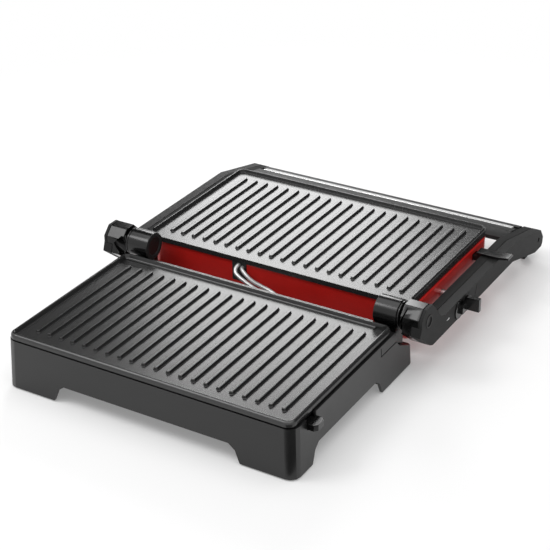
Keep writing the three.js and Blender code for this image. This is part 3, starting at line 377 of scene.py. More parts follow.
    def cut(self, tools: Iterable["Form"]) -> "Form":
        """Cuts closed shapes out of this one."""
        for tool in tools:
            body = self._loose("body")
            cutter = tool._loose("cutter")
            change = body.modifiers.new("change", "BOOLEAN")
            change.operation = "DIFFERENCE"
            change.solver = "EXACT"
            change.object = cutter
            bpy.context.view_layer.update()
            result = body.evaluated_get(bpy.context.evaluated_depsgraph_get())
            self.bm.clear()
            self.bm.from_mesh(result.data)
            for spare in (body, cutter):
                data = spare.data
                bpy.data.objects.remove(spare)
                bpy.data.meshes.remove(data)
            tool.bm.free()
        self._merge(CUT_FLAT_ANGLE)
        return self

    def _loose(self, name: str) -> bpy.types.Object:
        """Temporary object that holds this shape."""
        mesh = bpy.data.meshes.new(name)
        self.bm.to_mesh(mesh)
        return linked(name, mesh)

    def _dressed(self, name: str, finish: "Finish") -> bpy.types.Object:
        """Object of this shape in the row frame, with its finish."""
        bmesh.ops.transform(self.bm, matrix=DATUM.to_row, verts=self.bm.verts)
        made = mesh_object(name, self.bm)
        made.data.shade_smooth()
        made.data.materials.append(finish.material())
        log.info("%s: %d faces, %s", name, len(made.data.polygons), finish.name)
        return made

    def piece(self, name: str, body: Body, finish: "Finish", names: Sequence[str] = ()) -> None:
        """Makes the shape a rigid piece of the model.

        Args:
            name: The piece's name.
            body: Body that it rides on.
            finish: What it is made of.
            names: CAD nodes that it stands for.
        """
        made = self._dressed(name, finish)
        made.data.set_sharp_from_angle(angle=math.radians(SHARP_ANGLE))
        made.modifiers.new("even_shading", "WEIGHTED_NORMAL").keep_sharp = True
        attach(made, body.value)
        if names:
            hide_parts(*names)

    def piece_between(
        self, name: str, node: str, finish: "Finish", bodies: tuple[Body, Body], ends: tuple[Vector, Vector]
    ) -> None:
        """Makes the shape a piece that stands for a CAD node and stays where it is made.

        Args:
            name: The piece's name.
            node: CAD node that it stands for.
            finish: What it is made of.
            bodies: Bodies at its start and at its end; not used.
            ends: Row places of the start and of the end; not used.
        """
        piece = self._dressed(name, finish)
        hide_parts(node)
        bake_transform(piece)


@dataclass(frozen=True)
class Signal:
    """Output of a shader node that Python operators combine with numbers and other outputs."""

    recipe: "Recipe"
    socket: bpy.types.NodeSocket | None

    def _math(self, operation: str, first: "Signal | float", second: "Signal | float") -> "Signal":
        """Math node of two values."""
        sockets = {0: first, 1: second}
        return self.recipe.node("ShaderNodeMath", {"operation": operation}, sockets)

    def __add__(self, other: "Signal | float") -> "Signal":
        """Sum."""
        return self._math("ADD", self, other)

    def __radd__(self, other: float) -> "Signal":
        """Sum with a number in front."""
        return self._math("ADD", other, self)

    def __sub__(self, other: "Signal | float") -> "Signal":
        """Difference."""
        return self._math("SUBTRACT", self, other)

    def __rsub__(self, other: float) -> "Signal":
        """Difference with a number in front."""
        return self._math("SUBTRACT", other, self)

    def __mul__(self, other: "Signal | float") -> "Signal":
        """Product."""
        return self._math("MULTIPLY", self, other)

    def __rmul__(self, other: float) -> "Signal":
        """Product with a number in front."""
        return self._math("MULTIPLY", other, self)

    def above(self, level: float) -> "Signal":
        """One where the value is above a level, and zero elsewhere."""
        return self._math("GREATER_THAN", self, level)

    def between(self, low: float, high: float) -> "Signal":
        """Zero at the low value and one at the high one, smooth between them."""
        settings = {"interpolation_type": "SMOOTHSTEP", "clamp": True}
        return self.recipe.node("ShaderNodeMapRange", settings, {"Value": self, 1: low, 2: high})


class Recipe:
    """Node tree of one material or of the world."""

    def __init__(self, owner: bpy.types.Material | bpy.types.World) -> None:
        """Starts an empty tree in its owner."""
        owner.use_nodes = True
        self.owner = owner
        self.tree = owner.node_tree
        self.tree.nodes.clear()

    @classmethod
    def named(cls, name: str) -> "Recipe":
        """Recipe of a new material."""
        return cls(bpy.data.materials.new(name))

    def node(
        self, kind: str, settings: dict[str, object] | None = None,
        sockets: dict[str | int, object] | None = None, out: str | int = 0,
    ) -> Signal:
        """Adds a node.

        Args:
            kind: The node's type.
            settings: Its properties.
            sockets: Values or signals of its inputs, by name or place.
            out: Output that is returned.

        Returns:
            The output.
        """
        made = self.tree.nodes.new(kind)
        for key, value in (settings or {}).items():
            setattr(made, key, value)
        for key, value in (sockets or {}).items():
            if isinstance(value, Signal):
                self.tree.links.new(value.socket, made.inputs[key])
            else:
                made.inputs[key].default_value = value
        return Signal(self, made.outputs[out] if made.outputs else None)

    def place(self, scale: Spot = (1.0, 1.0, 1.0)) -> Signal:
        """Object coordinates, stretched."""
        source = self.node("ShaderNodeTexCoord", out="Object")
        return self.node("ShaderNodeMapping", {}, {"Vector": source, "Scale": scale})

    def along(self, axis: str) -> Signal:
        """Distance along an axis, in metres."""
        return self.node("ShaderNodeSeparateXYZ", {}, {0: self.place()}, out=axis)

    def noise(self, size: float, detail: float = 2.0, where: Signal | None = None) -> Signal:
        """Noise whose patches are about a size in millimetres."""
        sockets = {
            "Vector": where or self.place(),
            "Scale": 1.0 / (size * METRES),
            "Detail": detail,
            "Roughness": NOISE_ROUGHNESS,
        }
        return self.node("ShaderNodeTexNoise", {}, sockets)

    def cells(self, size: float) -> Signal:
        """A random value for each cell about a size in millimetres."""
        sockets = {"Vector": self.place(), "Scale": 1.0 / (size * METRES)}
        colour = self.node("ShaderNodeTexVoronoi", {"feature": "F1"}, sockets, out="Color")
        return self.node("ShaderNodeSeparateColor", {}, {0: colour}, out=0)

    def blend(self, share: Signal, first: Colour, second: Colour) -> Signal:
        """Colour between two."""
        settings = {"data_type": "RGBA", "blend_type": "MIX"}
        return self.node("ShaderNodeMix", settings, {0: share, 6: first, 7: second}, out=2)

    def bump(self, height: Signal, depth: float) -> Signal:
        """Normal of a relief whose full height is a depth in millimetres."""
        sockets = {"Height": height, "Distance": depth * METRES, "Strength": 1.0}
        return self.node("ShaderNodeBump", {}, sockets)

    def seen_rays(self) -> Signal:
        """One for rays of the camera, of gloss and of glass, and zero for the rest."""
        camera, gloss, glass = (
            self.node("ShaderNodeLightPath", out=f"Is {kind} Ray")
            for kind in ("Camera", "Glossy", "Transmission")
        )
        return (camera + gloss + glass).above(0.5)

    def surface(self, **sockets: object) -> bpy.types.Material:
        """Ends the tree with the surface shader.

        Args:
            sockets: Values or signals of its inputs, with _ for a space.

        Returns:
            The finished material.
        """
        named = {key.replace("_", " "): value for key, value in sockets.items()}
        shader = self.node("ShaderNodeBsdfPrincipled", {}, named)
        return self.finished(shader)

    def finished(self, shader: Signal) -> bpy.types.Material:
        """Links a shader to the output and returns the material."""
        self.node("ShaderNodeOutputMaterial", {}, {"Surface": shader})
        return self.owner


def grey(level: float) -> Colour:
    """Opaque grey of a linear level."""
    return (level, level, level, 1.0)


def tinted(colour: Colour, factor: float) -> Colour:
    """Colour made lighter or darker."""
    return (colour[0] * factor, colour[1] * factor, colour[2] * factor, 1.0)


@dataclass(frozen=True)
class Finish:
    """What a piece is made of, as a procedural material."""

    name: str
    slot: str
    colour: Colour
    roughness: float
    spread: float
    grain: float
    grain_depth: float
    tones: Point = (0.88, 1.12)

    def material(self) -> bpy.types.Material:
        """The finish's material, made once."""
        known = bpy.data.materials.get(self.name)
        return known or self.build(Recipe.named(self.name))

    def rough(self, recipe: Recipe) -> Signal:
        """Roughness that wanders a little over the surface."""
        return self.roughness - self.spread + recipe.noise(ROUGHNESS_PATCH) * (2 * self.spread)

    def toned(self, recipe: Recipe, share: Signal) -> Signal:
        """Colour between the darker and the lighter tone."""
        low, high = self.tones
        return recipe.blend(share, tinted(self.colour, low), tinted(self.colour, high))

    def build(self, recipe: Recipe) -> bpy.types.Material:
        """Makes the material, which each kind of finish does in its own way."""
        raise NotImplementedError


@dataclass(frozen=True)
class Moulded(Finish):
    """Moulded plastic with a fine spark-eroded grain."""

    patch: float = 40.0
    metallic: float = 0.0
    sheen_level: float = 0.5

    def build(self, recipe: Recipe) -> bpy.types.Material:
        """Makes the material: fine grain, slow changes of tone and gloss."""
        return recipe.surface(
            Base_Color=self.toned(recipe, recipe.noise(self.patch)),
            Roughness=self.rough(recipe),
            Normal=recipe.bump(recipe.noise(self.grain, FINE_DETAIL), self.grain_depth),
            Specular_IOR_Level=self.sheen_level,
            Metallic=self.metallic,
        )


@dataclass(frozen=True)
class TwoGrains(Moulded):
    """Plastic with one grain near a place along an axis and another one away from it."""

    axis: str = "Y"
    middle: float = 0.0
    reach: float = 0.02
    far: float = 0.8

    def rough(self, recipe: Recipe) -> Signal:
        """Roughness that changes over within a millimetre of the reach."""
        offset = recipe.along(self.axis) - self.middle
        share = (offset * offset).between(self.reach**2, (self.reach + METRES) ** 2)
        return Moulded.rough(self, recipe) + share * (self.far - self.roughness)


@dataclass(frozen=True)
class CastCoating(Finish):
    """Non-stick coating on cast aluminium: a satin grey with a fine sparkle."""

    tones: Point = (0.86, 1.22)
    patch: float = 1.6
    metallic: float = 0.6
    speck: float = 0.55
    speck_share: float = 0.35
    speck_weight: float = 0.55
    gloss_change: float = 0.04
    roll: float = 9.0
    roll_weight: float = 0.6

    def build(self, recipe: Recipe) -> bpy.types.Material:
        """Makes the material: pale specks in the coat and the slight roll of the casting."""
        specks = recipe.cells(self.speck).between(1.0 - self.speck_share, 1.0)
        patch = recipe.noise(self.patch, FINE_DETAIL)
        share = specks * self.speck_weight + patch * (1.0 - self.speck_weight)
        height = recipe.noise(self.grain, FINE_DETAIL) + recipe.noise(self.roll) * self.roll_weight
        return recipe.surface(
            Base_Color=self.toned(recipe, share),
            Roughness=self.rough(recipe) + (patch - 0.5) * self.gloss_change,
            Metallic=self.metallic,
            Normal=recipe.bump(height, self.grain_depth),
        )


@dataclass(frozen=True)
class FlakePaint(Finish):
    """Metallic paint: fine flakes under a clear coat."""

    tones: Point = (0.78, 1.25)
    patch: float = 30.0
    metallic: float = 0.2
    flake: float = 0.25
    coat: float = 0.2
    coat_roughness: float = 0.15

    def build(self, recipe: Recipe) -> bpy.types.Material:
        """Makes the material: flakes that differ in tone and tilt, under a clear coat."""
        flakes = recipe.cells(self.flake)
        return recipe.surface(
            Base_Color=self.toned(recipe, flakes * 0.5 + recipe.noise(self.patch) * 0.5),
            Roughness=self.rough(recipe),
            Metallic=self.metallic,
            Normal=recipe.bump(flakes, self.grain_depth),
            Coat_Weight=self.coat,
            Coat_Roughness=self.coat_roughness,
        )


@dataclass(frozen=True)
class BrushedMetal(Finish):
    """Bright metal with fine lines along one direction."""

    tones: Point = (0.85, 1.1)
    stretch: Spot = (0.04, 1.0, 1.0)
    gloss_change: float = 0.1

    def build(self, recipe: Recipe) -> bpy.types.Material:
        """Makes the material: fine lines in height and gloss."""
        lines = recipe.noise(self.grain, LINE_DETAIL, recipe.place(self.stretch))
        return recipe.surface(
            Base_Color=self.toned(recipe, lines),
            Roughness=self.rough(recipe) + (lines - 0.5) * self.gloss_change,
            Metallic=1.0,
            Normal=recipe.bump(lines, self.grain_depth),
        )


@dataclass(frozen=True)
class LampLens(Finish):
    """Tinted clear lens of a small lamp."""

    tones: Point = (0.8, 1.2)
    patch: float = 3.0
    coat: float = 0.5
    clearness: float = 0.25

    def build(self, recipe: Recipe) -> bpy.types.Material:
        """Makes the material: a tinted gloss with a faint frosting."""
        return recipe.surface(
            Base_Color=self.toned(recipe, recipe.noise(self.patch)),
            Roughness=self.rough(recipe),
            Normal=recipe.bump(recipe.noise(self.grain), self.grain_depth),
            Coat_Weight=self.coat,
            Transmission_Weight=self.clearness,
        )


HOUSING = Moulded("housing_plastic", "housing", grey(0.009), 0.33, 0.04, 0.45, 0.012)
SLEEVE = TwoGrains(
    "sleeve_gloss", "gloss_black", grey(0.004), 0.80, 0.02, 0.6, 0.003,
    sheen_level=0.4, axis="X", middle=-0.00725, reach=0.1262, far=0.20,
)
ARM = Moulded("arm_plastic", "arm_satin", grey(0.010), 0.60, 0.03, 0.35, 0.005, sheen_level=0.2)
BAR = TwoGrains(
    "arm_bar_plastic", "control_black", grey(0.003), 0.16, 0.02, 0.4, 0.004,
    sheen_level=0.3, axis="Y", middle=-0.040, reach=0.0235, far=0.80,
)
CONTROL = Moulded("control_plastic", "control_black", grey(0.004), 0.20, 0.03, 0.4, 0.005)
HANDLE = Moulded("handle_satin", "handle_grey", grey(0.007), 0.50, 0.03, 0.4, 0.005, sheen_level=0.25)
LOWER_CAST = CastCoating("lower_coating", "lower_cast", grey(0.05), 0.26, 0.01, 0.7, 0.0015)
UPPER_CAST = CastCoating("upper_coating", "upper_cast", grey(0.05), 0.27, 0.01, 0.7, 0.0015)
SHELL = FlakePaint("shell_paint", "shell_metallic", (0.66, 0.018, 0.014, 1.0), 0.34, 0.03, 0.4, 0.01)
TRIM = BrushedMetal("bright_strip", "bright_trim", grey(0.66), 0.18, 0.03, 0.3, 0.004)
STEEL = BrushedMetal("plain_steel", "steel", grey(0.45), 0.32, 0.04, 0.3, 0.006)
ELEMENT = BrushedMetal("heater_sheath", "element", grey(0.12), 0.5, 0.05, 0.4, 0.01)
RUBBER = Moulded("soft_rubber", "rubber", grey(0.014), 0.72, 0.05, 0.5, 0.03)
CERAMIC = Moulded("fired_ceramic", "ceramic", (0.70, 0.66, 0.56, 1.0), 0.62, 0.05, 0.7, 0.02)
LEAD = Moulded("lead_sheath", "lead_grey", grey(0.42), 0.28, 0.03, 0.8, 0.01, metallic=0.6)
LENS = LampLens("amber_lens", "lamp_lens", (0.75, 0.16, 0.03, 1.0), 0.12, 0.02, 0.6, 0.01)
MARK = Moulded("printed_mark", "bright_trim", grey(0.62), 0.5, 0.03, 0.5, 0.002)


@dataclass
class Camera:
    """Camera at the photograph's place."""

    position: Spot = (664.08, -878.73, 746.28)
    target: Spot = (-48.01, 307.07, -0.02)
    roll: float = -0.683
    focal_pixels: float = 1499.7
    clip: Point = (0.01, 50.0)

    def build(self) -> None:
        """Makes the camera and gives it to the scene."""
        data = bpy.data.cameras.new("photo_camera")
        data.sensor_width = SENSOR_WIDTH
        data.lens = self.focal_pixels * SENSOR_WIDTH / PHOTO_SIDE
        data.clip_start, data.clip_end = self.clip
        camera = linked("photo_camera", data)
        place = DATUM.point(self.position)
        turn = Matrix.Rotation(math.radians(self.roll), 4, "Z")
        camera.matrix_world = aimed(place, DATUM.point(self.target)) @ turn
        bpy.context.scene.camera = camera
        log.info("camera at %s, lens %.2f mm", tuple(round(part, 4) for part in place), data.lens)


@dataclass(frozen=True)
class Softbox:
    """Area light that looks at a spot, in metres in the row frame."""

    name: str
    place: Spot
    target: Spot
    width: float
    height: float
    power: float

    def build(self) -> None:
        """Makes the light."""
        data = bpy.data.lights.new(self.name, "AREA")
        data.shape = "RECTANGLE"
        data.size = self.width
        data.size_y = self.height
        data.energy = self.power
        light = linked(self.name, data)
        light.matrix_world = aimed(Vector(self.place), Vector(self.target))
        light.visible_camera = False


@dataclass(frozen=True)
class DarkFlag:
    """Dark card that only reflections see, in metres in the row frame."""

    name: str
    place: Spot
    target: Spot
    width: float
    height: float
    levels: Point = (0.004, 0.008)
    patch: float = 300.0

    def build(self) -> None:
        """Makes the card."""
        bm = bmesh.new()
        bmesh.ops.create_grid(bm, x_segments=4, y_segments=4, size=0.5)
        size = Matrix.Diagonal((self.width, self.height, 1.0, 1.0))
        pose = aimed(Vector(self.place), Vector(self.target)) @ size
        bmesh.ops.transform(bm, matrix=pose, verts=bm.verts)
        card = mesh_object(self.name, bm)
        recipe = Recipe.named(self.name)
        tone = recipe.blend(recipe.noise(self.patch), grey(self.levels[0]), grey(self.levels[1]))
        matt = recipe.node("ShaderNodeBsdfDiffuse", {}, {"Color": tone})
        card.data.materials.append(recipe.finished(matt))
        card.visible_camera = False
        card.visible_diffuse = False
        card.visible_shadow = False
        card.visible_transmission = False


@dataclass
class Studio:
    """Pale floor, soft lights, dark cards and a white surround."""

    floor_half: float = 6.0
    floor_drop: float = 0.0004
    floor_level: float = 0.82
    floor_spread: float = 0.01
    floor_patch: float = 400.0
    floor_glow: float = 0.22
    white_from: float = 0.35
    white_to: float = 0.8
    surround: float = 0.5
    softboxes: tuple[Softbox, ...] = (
        Softbox("rear_window", (-0.755, 1.296, 0.79), (0.0, 0.0, 0.05), 0.55, 0.62, 9.5),
        Softbox("overhead", (0.1, -0.3, 2.2), (0.0, 0.0, 0.0), 3.0, 3.0, 38.0),
        Softbox("left_front", (-0.83, -0.76, 1.35), (0.0, 0.0, 0.05), 0.6, 0.6, 8.0),
    )
    flags: tuple[DarkFlag, ...] = (
        DarkFlag("rear_flag", (-0.98, 1.63, 1.25), (0.0, 0.0, 0.05), 3.4, 2.2),
        DarkFlag("right_flag", (1.24, 1.66, 1.2), (0.0, 0.0, 0.05), 2.7, 2.3),
        DarkFlag("corner_flag", (0.225, -0.345, 0.001), (0.225, -0.344, 1.0), 0.17, 0.19),
    )

    def build(self) -> None:
        """Makes the floor, the surround, the cards and the lights."""
        self._floor()
        self._world()
        for item in self.flags + self.softboxes:
            item.build()

    def _floor(self) -> None:
        """Pale floor that renders white to the camera and keeps the shadow."""
        bm = bmesh.new()
        bmesh.ops.create_grid(bm, x_segments=8, y_segments=8, size=self.floor_half)
        bmesh.ops.translate(bm, verts=bm.verts, vec=(0.0, 0.0, -self.floor_drop))
        floor = mesh_object("studio_floor", bm)
        recipe = Recipe.named("studio_floor")
        level = recipe.noise(self.floor_patch) * self.floor_spread + (self.floor_level - self.floor_spread / 2)
        tone = recipe.node("ShaderNodeCombineColor", {}, {0: level, 1: level, 2: level})
        matt = recipe.node("ShaderNodeBsdfDiffuse", {}, {"Color": tone})
        glow = recipe.node("ShaderNodeEmission", {}, {"Color": grey(1.0), "Strength": 1.0})
        x, y = recipe.along("X"), recipe.along("Y")
        far = (x * x + y * y).between(self.white_from**2, self.white_to**2)
        camera = recipe.node("ShaderNodeLightPath", out="Is Camera Ray")
        seen = recipe.seen_rays() * self.floor_glow + camera * far * (1.0 - self.floor_glow)
        mixed = recipe.node("ShaderNodeMixShader", {}, {0: seen, 1: matt, 2: glow})
        floor.data.materials.append(recipe.finished(mixed))

    def _world(self) -> None:
        """White surround for the camera and for reflections, softer as a light."""
        recipe = Recipe(bpy.data.worlds.new("studio"))
        strength = recipe.seen_rays() * (1.0 - self.surround) + self.surround
        light = recipe.node("ShaderNodeBackground", {}, {"Color": grey(1.0), "Strength": strength})
        recipe.node("ShaderNodeOutputWorld", {}, {"Surface": light})
        bpy.context.scene.world = recipe.owner


@dataclass(frozen=True)
class SoftCopy:
    """CAD node that keeps its own form and gets rounded edges."""

    node: str
    name: str
    body: Body
    finish: Finish
    width: float
    segments: int = 2
    angle: float = EDGE_ANGLE
    shortest: float = 0.0

    def build(self) -> None:
        """Makes the piece."""
        form = Form.copied(self.node).soften(self.width, self.segments, self.angle, shortest=self.shortest)
        form.piece(self.name, self.body, self.finish, [self.node])


LID_SHELL = SoftCopy("lid_shell", "painted_shell", Body.LID, SHELL, 0.5, angle=40.0, shortest=3.0)
CONTROLS = (
    SoftCopy("release_lever", "lever", Body.LEVER, CONTROL, 0.6, EDGE_STEPS, shortest=1.5),
    SoftCopy("lower_release_button", "lower_button_cap", Body.LOWER_BUTTON, CONTROL, 0.7, EDGE_STEPS),
    SoftCopy("upper_release_button", "upper_button_cap", Body.UPPER_BUTTON, CONTROL, 0.5, EDGE_STEPS),
)


@dataclass
class BaseHousing:
    """Drafted housing of the base with its bottom cover and feet."""

    edge: float = 0.9
    shortest: float = 6.0
    cover: SoftCopy = SoftCopy("base_bottom_cover", "bottom_cover", Body.BASE, CONTROL, 0.4, shortest=2.0)
    pad_edge: float = 0.7
    groove_front: float = 156.0
    groove_floor: float = 37.0
    groove_side: float = 150.5

    def build(self) -> None:
        """Builds the housing and what closes it below."""
        housing = Form.copied("base_housing")
        housing.soften(self.edge, EDGE_STEPS, where=self._is_clear, shortest=self.shortest)
        housing.piece("housing", Body.BASE, HOUSING, ["base_housing"])
        self.cover.build()
        for place in ("front", "rear"):
            for side in Side:
                node = f"foot_pad_{place}_{side.word}"
                SoftCopy(node, f"rubber_{node}", Body.BASE, RUBBER, self.pad_edge).build()

    def _is_clear(self, middle: Vector) -> bool:
        """Whether an edge's middle lies clear of the grooves beside the hinge."""
        behind = middle.y > self.groove_front
        return not (behind and middle.z > self.groove_floor and abs(middle.x) > self.groove_side)


@dataclass(frozen=True)
class RibRow:
    """Row of rounded ribs on a plate."""

    count: int = 21
    pitch: float = 13.0
    foot_half: float = 2.65
    round_steps: int = 16
    sink: float = 0.25
    profile: Outline = (
        (0.25, 0.10), (0.18, 0.30), (0.16, 0.75), (0.18, 0.70), (0.14, 0.30), (0.20, 0.18), (0.30, 0.07),
    )

    def build(self, front: float, rear: float, z: float) -> Form:
        """Makes the row.

        Args:
            front: Y of the ribs' front ends.
            rear: Y of their rear ends.
            z: Height of the face that they stand on.

        Returns:
            All ribs as one form.
        """
        rib = Form.stadium(self.foot_half, front, rear, z - self.sink, self.round_steps)
        rib.step(rib.solid_from_face(self.sink), self.profile)
        row = Form()
        for index in range(self.count):
            shift = (index - (self.count - 1) / 2) * self.pitch
            row.add(rib.twin((shift, 0.0, 0.0)))
        rib.bm.free()
        return row


@dataclass
class LowerPlate:
    """Lower plate with its lip, gutter and drain pocket."""

    half: float = 149.5
    front: float = 2.0
    rear: float = 186.5
    radius: float = 8.0
    bottom: float = 51.3
    top: float = 56.7
    floor: float = 52.7
    under_edge: float = 0.5
    rim: Outline = (
        (-0.35, 0.15), (-0.15, 0.35), (0.0, 2.0), (0.14, 0.90), (0.40, 0.81), (0.62, 0.64), (0.78, 0.41),
        (0.86, 0.14), (0.5, 0.0), (0.25, -0.1), (0.2, -0.4), (0.75, -2.6), (0.35, -0.5), (0.65, -0.3),
        (1.0, -0.1),
    )
    lip: float = 4.0
    slope: float = 3.0
    seat_inset: float = 3.0
    seat_bottom: float = 49.8
    rib_front: float = 20.7
    rib_rear: float = 167.9
    gutter_depth: float = 1.6
    gutter_reach: float = 10.0
    gutter_lengths: Point = (25.0, 33.0)
    gutter_edge: float = 0.7
    drain_radius: float = 6.0
    drain_inset: float = 10.0
    drain_rear: float = 2.8
    drain_floor: float = 0.4
    drain_steps: int = 14
    cut_over: float = 2.0
    rows: RibRow = RibRow()

    def build(self) -> None:
        """Builds the plate and its ribs."""
        inset = self.under_edge
        plate = Form.panel(self.half - inset, self.front + inset, self.rear - inset, self.radius, self.bottom)
        plate.step(plate.solid_from_face(SLIVER), self.rim)
        seat = [(self.seat_inset - inset, 0.0), (0.0, self.bottom - self.seat_bottom)]
        plate.step(plate.face_at(-UP), seat)
        plate.cut([self._gutter(), self._drain()])
        plate.add(self.rows.build(self.rib_front, self.rib_rear, self.floor))
        plate.piece("lower_grill_plate", Body.BASE, LOWER_CAST, ["lower_plate"])

    def _gutter(self) -> Form:
        """Cutter of the gutter in the rear left corner."""
        rear = self.rear - self.lip - self.slope
        near = rear - self.gutter_reach
        left = self.lip - self.half
        short, long = self.gutter_lengths
        outline = [(left, rear), (left, near), (left + short, near), (left + long, rear)]
        gutter = Form.prism(Axis.Z, outline, self.floor - self.gutter_depth, self.top + self.cut_over)
        return gutter.soften(self.gutter_edge)

    def _drain(self) -> Form:
        """Cutter of the round drain pocket in the rear right corner."""
        rear = self.rear - self.lip - self.slope
        middle = self.half - self.drain_inset
        radius = self.drain_radius
        turns = [math.pi * (1 + index / self.drain_steps) for index in range(self.drain_steps + 1)]
        pocket = [(middle + radius * math.cos(turn), rear + radius * math.sin(turn)) for turn in turns]
        pocket += [(middle + radius, rear + self.drain_rear), (middle - radius, rear + self.drain_rear)]
        return Form.prism(Axis.Z, pocket, self.bottom + self.drain_floor, self.top + self.cut_over)


@dataclass
class UpperPlate:
    """Upper plate with a lip on its far edge and along both sides."""

    half: float = 148.0
    near: float = 224.5
    far: float = 403.0
    radius: float = 8.0
    bottom: float = 54.8
    top: float = 60.3
    under_edge: float = 0.4
    rim: Outline = (
        (-0.4, 0.4), (0.0, 6.5), (0.12, 0.75), (0.35, 0.65), (0.55, 0.45), (0.63, 0.25), (0.45, 0.1),
        (0.3, -0.1), (0.2, -0.4), (0.4, -2.4), (0.35, -0.5), (0.65, -0.2),
    )
    rib_near: float = 239.1
    rib_far: float = 386.3
    lip_start: float = 8.0
    cut_margin: float = 1.0
    cut_height: Point = (0.02, 9.0)
    near_edge: float = 0.45
    near_margin: float = 0.3
    shortest: float = 0.8
    pan_half: float = 145.5
    pan_near: float = 230.0
    pan_far: float = 400.5
    pan_radius: float = 11.0
    pan_bottom: float = 51.8
    pan_height: float = 3.2
    rows: RibRow = RibRow()

    def build(self) -> None:
        """Builds the plate, its lip and its ribs."""
        inset = self.under_edge
        plate = Form.panel(self.half - inset, self.near + inset, self.far - inset, self.radius, self.bottom)
        plate.step(plate.solid_from_face(SLIVER), self.rim)
        edge = self.half + self.cut_margin
        low, high = self.cut_height
        front = (self.near - self.cut_margin, self.near + self.lip_start)
        plate.cut([Form.block((-edge, edge), front, (self.top + low, self.top + high))])
        plate.soften(self.near_edge, where=self._is_near_edge, shortest=self.shortest)
        pan = Form.panel(self.pan_half, self.pan_near, self.pan_far, self.pan_radius, self.pan_bottom)
        pan.solid_from_face(self.pan_height)
        plate.add(pan)
        plate.add(self.rows.build(self.rib_near, self.rib_far, self.top))
        plate.piece("upper_grill_plate", Body.LID, UPPER_CAST, ["upper_plate"])

    def _is_near_edge(self, middle: Vector) -> bool:
        """Whether an edge's middle lies on the lip's near ends or on the flat near edge."""
        near = middle.y < self.near + self.lip_start + self.near_margin
        return near and middle.z > self.top - self.near_margin


@dataclass
class HingeSide:
    """Sleeve on its stand, collar and plug of the hinge on one side."""

    side: Side
    line: Point = (203.5, 60.5)
    sleeve: Outline = (
        (0.0, 126.7), (9.0, 126.7), (9.7, 126.0), (13.0, 126.0), (13.7, 126.3), (14.0, 127.0),
        (14.0, 148.7), (13.75, 149.3), (13.2, 149.5), (4.3, 149.5), (4.3, 127.6), (0.0, 127.6),
    )
    stand: Outline = ((195.5, 32.2), (211.5, 24.5), (211.5, 54.5), (195.5, 54.5))
    stand_width: Point = (128.0, 147.5)
    stand_edge: float = 0.8
    collar: Outline = (
        (4.3, 150.0), (13.1, 150.0), (13.5, 150.4), (13.5, 151.4), (13.2, 151.8), (10.3, 153.3),
        (9.9, 153.5), (4.3, 153.5), (4.3, 150.0),
    )
    plug: Outline = (
        (0.0, 174.9), (6.2, 174.9), (6.7, 175.4), (6.7, 177.1), (6.4, 177.5), (5.2, 177.5),
        (4.9, 177.1), (4.9, 176.7), (4.4, 176.4), (0.0, 176.4),
    )
    plug_steps: int = 48

    def build(self) -> None:
        """Builds the hinge's pieces on this side."""
        word = self.side.word
        sleeve = self._turned(self.sleeve)
        stand = Form.prism(Axis.X, self.stand, *self.side.span(*self.stand_width))
        sleeve.add(stand.soften(self.stand_edge))
        sleeve.piece(f"hinge_barrel_{word}", Body.BASE, SLEEVE, [f"hinge_sleeve_{word}"])
        collar = self._turned(self.collar)
        collar.piece(f"hinge_collar_{word}", Body.LID, SLEEVE, [f"hub_collar_{word}"])
        plug = self._turned(self.plug, self.plug_steps)
        plug.piece(f"hinge_plug_{word}", Body.LID, HANDLE, [f"hub_plug_{word}"])

    def _turned(self, profile: Sequence[Point], steps: int = TURN_STEPS) -> Form:
        """Shape turned about the hinge line, on this side."""
        placed = [(radius, place * self.side.value) for radius, place in profile]
        return Form.turned(Axis.X, self.line, placed, steps)


